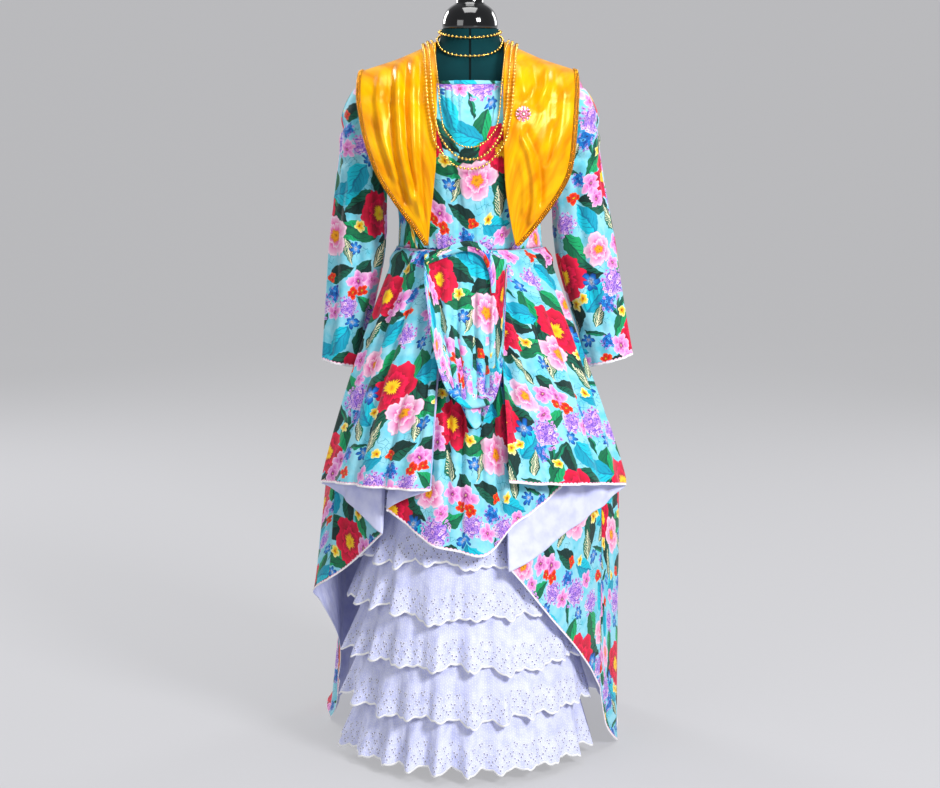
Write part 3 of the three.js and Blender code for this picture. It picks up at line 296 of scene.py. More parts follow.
def mix(a: Array | float, b: Array | float, t: Array | float) -> Array | float:
    """The value a share t of the way from a to b."""
    return a + (b - a) * t


def smooth(t: Array | float, low: float = 0.0, high: float = 1.0) -> Array:
    """An S-shaped rise from 0 at low to 1 at high, 3t² - 2t³."""
    t = np.clip((np.asarray(t, float) - low) / (high - low), 0, 1)
    return t * t * (3 - 2 * t)


def on_section(rows: Table, z: Array, degrees: Array, off: Array | float = 0.0) -> Array:
    """Points on elliptical sections: x = (a + off) sin t and y = shift - (b + off) cos t.

    Args:
        rows: Half width a, half depth b and shift y over z.
        z: Heights.
        degrees: Angles from the front.
        off: How far the points stand off.

    Returns:
        Points with a last axis of 3.
    """
    t = np.radians(degrees)
    x = (rows.eased("a", z) + off) * np.sin(t)
    y = rows.eased("y", z) - (rows.eased("b", z) + off) * np.cos(t)
    return np.stack(np.broadcast_arrays(x, y, z), axis=-1)


def arc(points: Array, axis: int) -> Array:
    """Length along one axis of a grid of points, from its first line, as a grid."""
    steps = np.linalg.norm(np.diff(points, axis=axis), axis=-1)
    start = np.zeros_like(np.take(steps, [0], axis=axis))
    return np.cumsum(np.concatenate([start, steps], axis=axis), axis=axis)


# ---- meshes ----


def object_from(
    name: str,
    points: Array,
    faces: Array | list,
    finishes: list[Material],
    layers: dict[str, Array] | None = None,
    kinds: Array | None = None,
) -> Object:
    """A smooth-shaded mesh object at the origin, riding on the root body.

    Args:
        name: The object's name.
        points: Points in millimetres, n by 3.
        faces: Corner numbers of each face.
        finishes: Its materials.
        layers: By UV layer, a pair in metres for each face corner, in the order of the faces.
        kinds: Which of the materials each face has, when it is not the first for all.

    Returns:
        The object.
    """
    mesh = bpy.data.meshes.new(name)
    mesh.from_pydata((np.asarray(points) * MM).tolist(), [], [list(map(int, face)) for face in faces])
    for layer_name, pairs in (layers or {}).items():
        layer = mesh.uv_layers.new(name=layer_name)
        layer.data.foreach_set("uv", np.asarray(pairs, np.float32).ravel())
    mesh.polygons.foreach_set("use_smooth", np.ones(len(mesh.polygons), bool))
    for finish in finishes:
        mesh.materials.append(finish)
    if kinds is not None:
        mesh.polygons.foreach_set("material_index", np.asarray(kinds, np.int32))
    mesh.update()
    made = bpy.data.objects.new(name, mesh)
    bpy.context.scene.collection.objects.link(made)
    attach(made, "root")
    return made


@dataclass
class Surface:
    """A grid of points of one piece of cloth, with its cloth measures for the pattern."""

    points: Array
    wrap: bool = False
    flip: bool = False
    across_from: float = 0.5  # column, as a share, that the pattern is measured from
    from_hem: bool = False  # whether the pattern is measured up from the last row
    begin: tuple[float, float] = (0.0, 0.0)  # place of the print's repeat at that column

    def uv(self) -> dict[str, Array]:
        """Cloth measures in metres at each grid point, by UV layer.

        The layer "cloth" runs along each row from one column, and falls from the piece's longest column. The
        layer "hem" runs along the last row, and rises from it up each column.
        """
        points = self.points
        if self.wrap:
            points = np.concatenate([points, points[:, :1]], axis=1)
        across = arc(points, 1)
        column = int(round(self.across_from * (points.shape[1] - 1)))
        across = across - across[:, column : column + 1]
        down = arc(points, 0)
        fall = down[-1:] if self.from_hem else down.max()
        return {
            "cloth": (np.stack([across, fall - down], axis=-1) + self.begin) * MM,
            "hem": np.stack(np.broadcast_arrays(across[-1:], down[-1:] - down), axis=-1) * MM,
        }

    def faces(self) -> tuple[Array, Array]:
        """Quads of the grid, and the UV grid's place of each corner.

        Returns:
            The point numbers of each face, and rows of flat UV-grid numbers for the same corners.
        """
        rows, cols = self.points.shape[:2]
        wide = cols if self.wrap else cols - 1
        i, j = np.meshgrid(np.arange(rows - 1), np.arange(wide), indexing="ij")
        i, j = i.ravel(), j.ravel()
        corners = [(i, j), (i + 1, j), (i + 1, j + 1), (i, j + 1)]
        if self.flip:
            corners = corners[::-1]
        faces = np.stack([r * cols + c % cols for r, c in corners], axis=1)
        uv_cols = cols + 1 if self.wrap else cols
        places = np.stack([r * uv_cols + c for r, c in corners], axis=1)
        return faces, places

    def cloth(
        self, name: str, thickness: float, outer: Material, inner: Material
    ) -> Object:
        """Makes the cloth: the grid given a thickness about its middle, right side out, wrong side in.

        Args:
            name: The object's name.
            thickness: Of the cloth, in millimetres.
            outer: Material of the right side and the edge.
            inner: Material of the wrong side.

        Returns:
            The object.
        """
        faces, places = self.faces()
        layers = {layer: grid.reshape(-1, 2)[places.ravel()] for layer, grid in self.uv().items()}
        made = object_from(name, self.points.reshape(-1, 3), faces, [outer, inner], layers)
        shell = made.modifiers.new("thickness", "SOLIDIFY")
        shell.thickness = thickness * MM
        shell.offset = 0
        shell.material_offset = 1
        shell.material_offset_rim = 0
        return made


def scattered(unit: Array, faces: Array, frames: Array, centres: Array) -> tuple:
    """Copies a small shape to many places as one set of points and faces.

    Each copy's points are the unit's points times that copy's frame, whose rows are its three scaled axes,
    plus its centre.

    Args:
        unit: Points of the small shape, k by 3.
        faces: Its faces, m by corners.
        frames: Scaled axes of each copy, n by 3 by 3.
        centres: Places of the copies, n by 3.

    Returns:
        All points and all faces.
    """
    points = np.einsum("kc,ncd->nkd", unit, frames) + centres[:, None, :]
    offset = (np.arange(len(centres)) * len(unit))[:, None, None]
    return points.reshape(-1, 3), (faces[None] + offset).reshape(-1, faces.shape[1])


def ball(around: int, levels: int) -> tuple[Array, Array]:
    """A unit ball of triangles: rings of points at even latitudes between two poles.

    Args:
        around: Points in a ring.
        levels: Rings between the poles.

    Returns:
        Points and triangles.
    """
    lat = np.pi * (np.arange(1, levels + 1) / (levels + 1) - 0.5)
    lon = 2 * np.pi * np.arange(around) / around
    level = [np.outer(np.cos(lat), side) for side in (np.cos(lon), np.sin(lon))]
    ring = np.stack([*level, np.outer(np.sin(lat), np.ones(around))], axis=-1).reshape(-1, 3)
    points = np.concatenate([ring, [[0, 0, -1], [0, 0, 1]]])
    south, north = len(ring), len(ring) + 1
    k = np.arange(around)
    after = (k + 1) % around
    faces = [np.stack([np.full(around, south), after, k], axis=1)]
    for i in range(levels - 1):
        a, b = i * around + k, i * around + after
        faces += [np.stack([a, b, b + around], axis=1), np.stack([a, b + around, a + around], axis=1)]
    top = (levels - 1) * around
    faces.append(np.stack([top + k, top + after, np.full(around, north)], axis=1))
    return points, np.concatenate(faces)


def tube(path: Array, radius: float, sides: int) -> tuple[Array, Array]:
    """A closed tube of round section along a closed path, as points and quads."""
    tangent = np.roll(path, -1, 0) - np.roll(path, 1, 0)
    tangent /= np.linalg.norm(tangent, axis=1, keepdims=True)
    out = np.cross(path * [1, 1, 0], tangent)
    out /= np.linalg.norm(out, axis=1, keepdims=True)
    side = np.cross(tangent, out)
    turn = 2 * np.pi * np.arange(sides) / sides
    spokes = out[:, None] * np.cos(turn)[:, None] + side[:, None] * np.sin(turn)[:, None]
    rings = path[:, None] + radius * spokes
    faces, _ = Surface(np.concatenate([rings, rings[:1]]), wrap=True).faces()
    return rings.reshape(-1, 3), faces % (len(path) * sides)


def resampled(path: Array, step: float, closed: bool = False) -> Array:
    """Points an even step apart along a line of points."""
    if closed:
        path = np.concatenate([path, path[:1]])
    along = arc(path[None], 1)[0]
    count = max(2, int(round(along[-1] / step)))
    at = np.linspace(0, along[-1], count + 1)
    if closed:
        at = at[:-1]
    return np.stack([np.interp(at, along, path[:, k]) for k in range(3)], axis=1)


# ---- finishes ----


def linear(hex_colour: str) -> tuple[float, float, float, float]:
    """An sRGB hex colour as linear light, by the sRGB curve."""
    parts = [int(hex_colour[i : i + 2], 16) / 255 for i in (1, 3, 5)]
    r, g, b = (c / 12.92 if c <= 0.04045 else ((c + 0.055) / 1.055) ** 2.4 for c in parts)
    return (r, g, b, 1.0)


@dataclass
class Graph:
    """The nodes of one material or one painted motif."""

    tree: NodeTree

    def add(
        self, kind: str, *values: object, out: int | str = 0, stops: tuple = (), at: dict | None = None,
        **settings: object,
    ) -> NodeSocket:
        """Adds a node with its settings and links.

        Args:
            kind: Node type without its prefix, then its operation or data type. Math may be left out.
            values: Fill the node's inputs in order. None leaves one as it is.
            out: The output to return.
            stops: Colour stops of a ramp, as pairs of place and hex colour.
            at: Inputs by name or number.
            settings: Properties of the node.

        Returns:
            The chosen output socket, or the node itself where it has none.
        """
        kind, _, mode = (f"Math {kind}" if kind.isupper() else kind).partition(" ")
        made = self.tree.nodes.new("ShaderNode" + kind if kind[0] != "=" else kind[1:])
        if mode:
            setattr(made, "data_type" if kind == "Mix" else "operation", mode)
        for name, value in settings.items():
            setattr(made, name, value)
        ramp = getattr(made, "color_ramp", None)
        for i, (place, colour) in enumerate(stops):
            stop = ramp.elements[i] if i < 2 else ramp.elements.new(place)
            stop.position = place
            stop.color = linear(colour)
        for key, value in [*enumerate(values), *(at or {}).items()]:
            if isinstance(value, NodeSocket):
                self.tree.links.new(value, made.inputs[key])
            elif value is not None:
                made.inputs[key].default_value = value
        return made.outputs[out] if made.outputs else made

    def end(self, look: dict, height: NodeSocket, strength: float = 0.5, deep: float = 0.004) -> None:
        """Ends a material: its shader, with the cloth's or the cover's height as a bump deep metres high."""
        bump = self.add("Bump", at={"Strength": strength, "Distance": deep, "Height": height})
        self.add("OutputMaterial", self.add("BsdfPrincipled", at=look | {"Normal": bump}))


def new_material(name: str) -> tuple[Material, Graph]:
    """An empty node material and its graph."""
    made = bpy.data.materials.new(name)
    made.use_nodes = True
    made.node_tree.nodes.clear()
    return made, Graph(made.node_tree)


def new_group(name: str, inputs: str, outputs: str) -> tuple[NodeTree, Graph, Node]:
    """An empty node group.

    Args:
        name: Its name.
        inputs: Names of its inputs. A capital first letter makes a vector, a small one a number.
        outputs: Names of its outputs, where a capital first letter makes a colour.

    Returns:
        The group, its graph and its input node.
    """
    group = bpy.data.node_groups.new(name, "ShaderNodeTree")
    for word in inputs.split():
        kind = "NodeSocketVector" if word[0].isupper() else "NodeSocketFloat"
        group.interface.new_socket(word, in_out="INPUT", socket_type=kind)
    for word in outputs.split():
        kind = "NodeSocketColor" if word[0].isupper() else "NodeSocketFloat"
        group.interface.new_socket(word, in_out="OUTPUT", socket_type=kind)
    return group, Graph(group), group.nodes.new("NodeGroupInput")


def sides(g: Graph, place: NodeSocket) -> list[NodeSocket]:
    """The x and the y of a place."""
    return [g.add("VectorMath DOT_PRODUCT", place, axis, out="Value") for axis in ((1, 0, 0), (0, 1, 0))]


@dataclass(frozen=True)
class Motif:
    """Something painted round its own middle, with a radius or half length of 1."""

    def group(self, name: str) -> NodeTree:
        """Puts the drawing in a node group that gives its colour and what it covers."""
        group, g, start = new_group(name, "Local", "Colour mask")
        g.add("=NodeGroupOutput", *self.drawn(g, start.outputs["Local"]))
        return group


@dataclass(frozen=True)
class Blossom(Motif):
    """A painted flower: rounded petals in two rings round a centre of stamens."""

    petals: int
    notch: float  # depth of the notches between petals, as a share of the radius
    outer: tuple  # colour stops from the centre to the rim of the outer petals
    inner: tuple  # colour stops of the inner petals
    inner_size: float
    centre: tuple  # colour stops of the stamens
    centre_size: float

    def drawn(self, g: Graph, local: NodeSocket) -> tuple[NodeSocket, NodeSocket]:
        """Draws the flower.

        The rim of each ring is R(t) = 1 - notch * (1 - |cos(n t / 2)|^0.6) with a slow wave, and the colour
        follows r / R, nudged by fine rays.
        """
        x, y = sides(g, local)
        r = g.add("VectorMath LENGTH", local, out="Value")
        turn = g.add("ARCTAN2", y, x)
        rays = g.add("SINE", g.add("MULTIPLY", turn, 19.0))
        slow = g.add("SINE", g.add("MULTIPLY_ADD", turn, 3.0, 0.8))

        def ring(size: float, phase: float, nudge: float) -> NodeSocket:
            """Share of the way from the centre to the rim of a ring of petals."""
            swing = g.add("MULTIPLY_ADD", turn, self.petals / 2, phase)
            lobe = g.add("ABSOLUTE", g.add("COSINE", swing))
            soft = g.add("POWER", lobe, 0.6)
            rim = g.add("MULTIPLY_ADD", soft, self.notch * size, (1 - self.notch) * size)
            rim = g.add("MULTIPLY_ADD", slow, 0.05 * size, rim)
            share = g.add("DIVIDE", r, rim)
            return g.add("MULTIPLY_ADD", rays, nudge, share)

        outer = ring(1.0, 0.0, 0.025)
        inner = ring(self.inner_size, 1.3, 0.05)
        centre = ring(self.centre_size, 0.7, 0.14)
        colour = g.add("ValToRGB", outer, stops=self.outer)
        for share, stops in ((inner, self.inner), (centre, self.centre)):
            inside = g.add("LESS_THAN", share, 1.0)
            painted = g.add("ValToRGB", share, stops=stops)
            colour = g.add("Mix RGBA", at={0: inside, 6: colour, 7: painted}, out=2)
        return colour, g.add("LESS_THAN", outer, 1.0)


@dataclass(frozen=True)
class Leaf(Motif):
    """A painted leaf: a pointed oval with a mid vein and slanted side veins."""

    width: float  # half width, as a share of the half length
    dark: str
    light: str
    vein: str
    veins: float  # side veins along the half length
    vein_share: float  # share of each step that the vein fills

    def drawn(self, g: Graph, local: NodeSocket) -> tuple[NodeSocket, NodeSocket]:
        """Draws the leaf.

        Its edge is |y| = width * (1 - x²) * (1 - 0.35 x), a side vein lies where the fraction of
        (x - 0.8 |y| / width) * veins is small, and one half is darker.
        """
        x, y = sides(g, local)
        side = g.add("ABSOLUTE", y)
        oval = g.add("MULTIPLY_ADD", g.add("MULTIPLY", x, x), -1.0, 1.0)
        taper = g.add("MULTIPLY_ADD", x, -0.35, 1.0)
        edge = g.add("MULTIPLY", g.add("MULTIPLY", oval, taper), self.width)
        mask = g.add("LESS_THAN", side, edge)
        ends = g.add("LESS_THAN", g.add("ABSOLUTE", x), 1.0)
        mask = g.add("MULTIPLY", mask, ends)
        half = g.add("MapRange", y, -0.03, 0.03, 0.0, 1.0)
        colour = g.add("Mix RGBA", at={0: half, 6: linear(self.dark), 7: linear(self.light)}, out=2)
        slant = g.add("MULTIPLY_ADD", side, -0.8 / self.width, x)
        step = g.add("FRACT", g.add("MULTIPLY", slant, self.veins))
        on_vein = g.add("LESS_THAN", step, self.vein_share)
        within = g.add("LESS_THAN", side, g.add("MULTIPLY", edge, 0.72))
        on_vein = g.add("MULTIPLY", on_vein, within)
        middle = g.add("LESS_THAN", side, 0.035)
        lines = g.add("MAXIMUM", on_vein, middle)
        colour = g.add("Mix RGBA", at={0: lines, 6: colour, 7: linear(self.vein)}, out=2)
        return colour, mask


@dataclass(frozen=True)
class Cluster(Motif):
    """A painted head of many four-petalled florets with dark eyes."""

    florets: float  # florets across the radius
    petals: tuple  # colour stops that each floret picks from
    shade: str
    eye: str

    def drawn(self, g: Graph, local: NodeSocket) -> tuple[NodeSocket, NodeSocket]:
        """Draws the head.

        Each Voronoi cell is a floret with |cos 2t| petals. A floret shows where its cell's point lies within
        the head, and a shade fills between them nearer the middle.
        """
        grown = {"Scale": self.florets, "Randomness": 0.75}
        cells = g.add("TexVoronoi", local, voronoi_dimensions="2D", at=grown, out="Distance").node
        away = g.add("VectorMath SUBTRACT", local, cells.outputs["Position"])
        x, y = sides(g, away)
        turn = g.add("ARCTAN2", y, x)
        picked = g.add("VectorMath DOT_PRODUCT", cells.outputs["Color"], (0, 1, 0), out="Value")
        spun = g.add("MULTIPLY_ADD", turn, 2.0, g.add("MULTIPLY", picked, 6.0))
        lobe = g.add("ABSOLUTE", g.add("COSINE", spun))
        rim = g.add("MULTIPLY_ADD", g.add("POWER", lobe, 0.5), 0.34, 0.2)
        petal = g.add("LESS_THAN", cells.outputs["Distance"], rim)
        eye = g.add("LESS_THAN", cells.outputs["Distance"], 0.13)
        reach = g.add("VectorMath LENGTH", cells.outputs["Position"], out="Value")
        kept = g.add("LESS_THAN", reach, 0.86)
        r = g.add("VectorMath LENGTH", local, out="Value")
        core = g.add("LESS_THAN", r, 0.62)
        petal = g.add("MULTIPLY", petal, kept)
        mask = g.add("MAXIMUM", petal, core)
        colour = g.add("ValToRGB", picked, stops=self.petals)
        colour = g.add("Mix RGBA", at={0: petal, 6: linear(self.shade), 7: colour}, out=2)
        dot = g.add("MULTIPLY", eye, petal)
        colour = g.add("Mix RGBA", at={0: dot, 6: colour, 7: linear(self.eye)}, out=2)
        return colour, mask


class Paint(Enum):
    """The motifs of the flower print."""

    RED_PEONY = Blossom(
        petals=6, notch=0.24, inner_size=0.62, centre_size=0.3,
        outer=((0.5, "#8a0426"), (0.66, "#c80735"), (0.84, "#dc0c3c"), (0.93, "#f0264e"), (1.0, "#e0103f")),
        inner=((0.45, "#a00329"), (0.7, "#d20a3a"), (0.9, "#f5365a"), (1.0, "#e81846")),
        centre=((0.0, "#f08a12"), (0.35, "#ffc61e"), (0.7, "#ffe26a"), (1.0, "#ffb400")),
    )
    PINK_PEONY = Blossom(
        petals=5, notch=0.3, inner_size=0.6, centre_size=0.3,
        outer=((0.5, "#ec77b4"), (0.66, "#f8add3"), (0.86, "#fccbe3"), (0.95, "#ffe9f4"), (1.0, "#f79ac8")),
        inner=((0.45, "#e865a8"), (0.72, "#f9a8d0"), (0.92, "#ffe3f1"), (1.0, "#f68fc2")),
        centre=((0.0, "#8a4410"), (0.25, "#f09a18"), (0.6, "#ffb21f"), (0.85, "#d96a12"), (1.0, "#ffc83a")),
    )
    ORCHID = Blossom(
        petals=5, notch=0.42, inner_size=0.5, centre_size=0.2,
        outer=((0.3, "#c84aa6"), (0.55, "#ea8fd2"), (0.85, "#f6b9e6"), (1.0, "#fbd9f2")),
        inner=((0.2, "#b42c92"), (0.8, "#f09fdc"), (1.0, "#f7c4ea")),
        centre=((0.0, "#fff2a8"), (0.6, "#7a1d6a"), (1.0, "#b42c92")),
    )
    YELLOW = Blossom(
        petals=5, notch=0.4, inner_size=0.45, centre_size=0.3,
        outer=((0.3, "#f2a21c"), (0.6, "#fbe36c"), (1.0, "#fff6bd")),
        inner=((0.2, "#e8851a"), (1.0, "#ffd84a")),
        centre=((0.0, "#7a3a12"), (1.0, "#f08a1a")),
    )
    BLUE_STAR = Blossom(
        petals=6, notch=0.62, inner_size=0.5, centre_size=0.2,
        outer=((0.2, "#9fd0f6"), (0.5, "#3f8fdc"), (0.8, "#1c5db4"), (1.0, "#12357e")),
        inner=((0.2, "#d8ecff"), (1.0, "#2c74c8")),
        centre=((0.0, "#ffffff"), (1.0, "#10306e")),
    )
    BERRY = Blossom(
        petals=4, notch=0.45, inner_size=0.5, centre_size=0.25,
        outer=((0.3, "#a8122a"), (0.7, "#ee3a34"), (1.0, "#ff7a4a")),
        inner=((0.3, "#c01a30"), (1.0, "#f25a3c")),
        centre=((0.0, "#ffd23c"), (1.0, "#8a0a20")),
    )
    HYDRANGEA = Cluster(
        florets=4.6, shade="#8f6fd0", eye="#262a70",
        petals=((0.2, "#c9a4ee"), (0.45, "#efb8ee"), (0.65, "#b48be2"), (0.85, "#f6d9f8")),
    )
    BLUE_CLUSTER = Cluster(
        florets=3.2, shade="#2a66b8", eye="#101c58",
        petals=((0.2, "#2f86d8"), (0.45, "#7cc0f2"), (0.65, "#1b56ac"), (0.85, "#c4a4ec")),
    )
    VEINED_LEAF = Leaf(
        width=0.42, dark="#0b4f42", light="#12705a", vein="#f2efcb", veins=4.2, vein_share=0.34
    )
    GREEN_LEAF = Leaf(width=0.46, dark="#067048", light="#1fa768", vein="#04513f", veins=3.0, vein_share=0.14)
    DARK_LEAF = Leaf(width=0.5, dark="#04332f", light="#0b5f4a", vein="#022723", veins=3.0, vein_share=0.2)
    AQUA_LEAF = Leaf(width=0.56, dark="#12a4c2", light="#35c6dc", vein="#0b7fa6", veins=3.0, vein_share=0.12)
    BLADE_LEAF = Leaf(width=0.2, dark="#065a48", light="#0e8a63", vein="#053f35", veins=1.0, vein_share=0.05)


def on_cloth(g: Graph, layer: str = "cloth") -> NodeSocket:
    """Place on the cloth in millimetres, from a UV layer in metres."""
    return g.add("VectorMath MULTIPLY", g.add("UVMap", uv_map=layer), (1000.0, 1000.0, 0.0))


@dataclass(frozen=True)
class PrintedCotton:
    """Plain-weave cotton printed all over with flowers: matt, with fine threads and soft painted edges."""

    tile: tuple[float, float] = (322.0, 344.0)  # width and height of the half-drop repeat
    ground: str = "#a3dfee"
    ground_deep: str = "#80d2e6"
    sprig: str = "#3494a8"
    ink: float = 1.12  # strength of the inks' colour
    edging: float = 0.0  # height of the white scalloped edging on the last row, or none
    picot: float = 9.0  # width of one of its scallops
    thread: float = 1.1  # thread spacing, drawn about three times as coarse as it is so that it shows
    # For each motif its places in the tile, turn in degrees and radius or half length, in painting order.
    sprays: tuple = (
        ("DARK_LEAF", ((52, 262, 150, 52), (158, 262, 20, 50), (112, 190, 265, 50), (212, 52, 200, 46),
            (306, 112, 35, 46), (262, 160, 95, 40), (292, 312, 60, 34), (24, 132, 210, 38))),
        ("GREEN_LEAF", ((62, 306, 110, 42), (152, 312, 60, 40), (306, 56, 350, 46), (214, 136, 130, 36),
            (16, 216, 175, 34), (262, 246, 330, 34))),
        ("AQUA_LEAF", ((24, 300, 200, 44), (176, 204, 320, 44), (316, 160, 60, 40), (186, 22, 240, 38),
            (96, 100, 20, 34))),
        ("BLADE_LEAF", ((206, 176, 75, 32), (222, 172, 110, 30), (240, 178, 145, 32),
            (150, 128, 200, 28), (44, 16, 80, 30))),
        ("HYDRANGEA", ((228, 222, 0, 40), (66, 52, 40, 38), (308, 236, 80, 30), (136, 20, 20, 30))),
        ("BLUE_CLUSTER", ((196, 186, 0, 25), (32, 88, 60, 22), (176, 106, 90, 20))),
        ("VEINED_LEAF", ((102, 148, 262, 34), (166, 164, 300, 27), (250, 12, 250, 32), (8, 180, 110, 28))),
        ("RED_PEONY", ((110, 256, 10, 56), (256, 96, 70, 50))),
        ("PINK_PEONY", ((54, 206, 0, 44), (206, 300, 40, 36))),
        ("ORCHID", ((204, 90, 15, 25), (218, 60, 50, 21), (296, 292, 0, 27), (262, 300, 30, 22),
            (20, 50, 60, 20), (108, 74, 10, 19), (238, 262, 45, 17))),
        ("BERRY", ((304, 268, 20, 14), (282, 276, 60, 12), (162, 70, 0, 14), (46, 120, 30, 12))),
        ("YELLOW", ((126, 196, 0, 14), (144, 204, 40, 12), (306, 66, 20, 13), (228, 158, 10, 12),
            (80, 118, 60, 11))),
        ("BLUE_STAR", ((172, 236, 0, 21), (290, 206, 30, 16), (132, 116, 10, 15), (86, 10, 50, 15),
            (316, 18, 20, 15))),
    )

    def lattice(self) -> NodeTree:
        """A node group that gives each motif its own centred, turned and scaled coordinates.

        The repeat is a half-drop: columns a tile wide, each half a tile lower than the last. The offset from
        the motif has its whole columns taken off, and is then wrapped to half a tile each way.
        """
        wide, high = self.tile
        group, g, start = new_group("half drop", "Cloth Place turn size", "Local")
        away = g.add("VectorMath SUBTRACT", start.outputs["Cloth"], start.outputs["Place"])
        across = g.add("VectorMath DOT_PRODUCT", away, (1 / wide, 0, 0), out="Value")
        column = g.add("ROUND", across)
        step = g.add("VectorMath SCALE", (wide, high / 2, 0.0), at={3: column})
        near = g.add("VectorMath SUBTRACT", away, step)
        near = g.add("VectorMath WRAP", near, (wide / 2, high / 2, 1.0), (-wide / 2, -high / 2, -1.0))
        turned = g.add("VectorRotate", near, rotation_type="Z_AXIS", at={"Angle": start.outputs["turn"]})
        share = g.add("DIVIDE", 1.0, start.outputs["size"])
        g.add("=NodeGroupOutput", g.add("VectorMath SCALE", turned, at={3: share}))
        return group

    def colour(self, g: Graph, cloth: NodeSocket) -> NodeSocket:
        """Paints the ground, its fine sprigs and every motif of the repeat.

        Args:
            g: The material's graph.
            cloth: Place on the cloth in millimetres.

        Returns:
            The print's colour.
        """
        brush = g.add("TexNoise", cloth, at={"Scale": 0.05, "Detail": 2.0}, out="Color")
        sway = g.add("VectorMath SUBTRACT", brush, (0.5, 0.5, 0.5))
        painted = g.add("VectorMath MULTIPLY_ADD", sway, (15.0, 15.0, 0.0), cloth)
        wash = g.add("TexNoise", cloth, at={"Scale": 0.03, "Detail": 3.0}, out=0)
        colour = g.add("ValToRGB", wash, stops=((0.42, self.ground), (0.62, self.ground_deep)))
        twigs = g.add(
            "TexVoronoi", painted, feature="DISTANCE_TO_EDGE", voronoi_dimensions="2D",
            at={"Scale": 0.085, "Randomness": 1.0},
        )
        line = g.add("LESS_THAN", twigs, 0.03)
        patch = g.add("TexNoise", cloth, at={"Scale": 0.021, "Detail": 1.0}, out=0)
        drawn = g.add("MULTIPLY", line, g.add("GREATER_THAN", patch, 0.58))
        colour = g.add("Mix RGBA", at={0: drawn, 6: colour, 7: linear(self.sprig)}, out=2)
        lattice = bpy.data.node_groups.get("half drop") or self.lattice()
        groups = {
            paint.name: bpy.data.node_groups.get(paint.name.lower()) or paint.value.group(paint.name.lower())
            for paint in Paint
        }
        placed = [(motif, *place) for motif, places in self.sprays for place in places]
        for motif, x, y, turn, size in placed:
            local = g.add(
                "Group", node_tree=lattice,
                at={"Cloth": painted, "Place": (x, y, 0.0), "turn": math.radians(turn), "size": float(size)},
            )
            drawn = g.add("Group", local, node_tree=groups[motif], out="Colour").node
            shown = {0: drawn.outputs["mask"], 6: colour, 7: drawn.outputs["Colour"]}
            colour = g.add("Mix RGBA", at=shown, out=2)
        return colour

    def material(self) -> Material:
        """The right side of the cloth."""
        made, g = new_material("printed cotton" + (" with edging" if self.edging else ""))
        cloth = on_cloth(g)
        colour = self.colour(g, cloth)
        inked = {"Saturation": self.ink, "Value": 0.9, "Color": colour}
        colour = g.add("HueSaturation", at=inked, out="Color")
        if self.edging:
            hem = on_cloth(g, "hem")
            along = g.add("VectorMath DOT_PRODUCT", hem, (math.pi / self.picot, 0, 0), out="Value")
            up = g.add("VectorMath DOT_PRODUCT", hem, (0, 1, 0), out="Value")
            lobe = g.add("ABSOLUTE", g.add("SINE", along))
            top = g.add("MULTIPLY_ADD", lobe, 2.2, self.edging - 2.2)
            share = g.add("DIVIDE", up, top)
            strip = g.add("ValToRGB", share, stops=((0.0, "#ffffff"), (0.7, "#fdf4fa"), (0.8, "#f2a4c4")))
            inside = g.add("LESS_THAN", share, 1.0)
            colour = g.add("Mix RGBA", at={0: inside, 6: colour, 7: strip}, out=2)
        weave = g.add("VectorMath SCALE", cloth, at={3: 2 * math.pi / self.thread})
        sides = g.add("SeparateXYZ", weave).node
        warp = g.add("SINE", sides.outputs["X"])
        weft = g.add("SINE", sides.outputs["Y"])
        threads = g.add("MULTIPLY", warp, weft)
        crumple = g.add("TexNoise", cloth, at={"Scale": 0.035, "Detail": 3.0}, out=0)
        height = g.add("MULTIPLY_ADD", threads, 0.03, g.add("MULTIPLY", crumple, 1.6))
        look = {"Base Color": colour, "Roughness": 0.72, "Specular IOR Level": 0.3}
        g.end(look | {"Sheen Weight": 0.15, "Sheen Roughness": 0.5}, height)
        return made


@dataclass(frozen=True)
class WhiteCotton:
    """Unprinted cotton: the gown's wrong side and the petticoat's plain body, matt with a soft crumple. Its
    colour carries painted shade: lilac patches laid by noise over its tint.
    """

    name: str
    # Painted shade: this default tint, used for the gown's wrong side, is set darker and more lilac than the
    # lawn's.
    tint: str = "#d6d9f8"
    crumple: float = 1.4

    def material(self) -> Material:
        """The cloth's material."""
        made, g = new_material(self.name)
        cloth = on_cloth(g)
        soft = g.add("TexNoise", cloth, at={"Scale": 0.03, "Detail": 3.0}, out=0)
        threads = g.add("TexNoise", cloth, at={"Scale": 0.9, "Detail": 1.0}, out=0)
        height = g.add("MULTIPLY_ADD", threads, 0.06, g.add("MULTIPLY", soft, self.crumple))
        # Painted shade: the lower lilac stop lays shade in noise patches, not where the folds are.
        colour = g.add("ValToRGB", soft, stops=((0.3, "#c0c4ee"), (0.6, self.tint)))
        look = {"Base Color": colour, "Roughness": 0.8, "Sheen Weight": 0.2, "Specular IOR Level": 0.3}
        g.end(look, height)
        return made


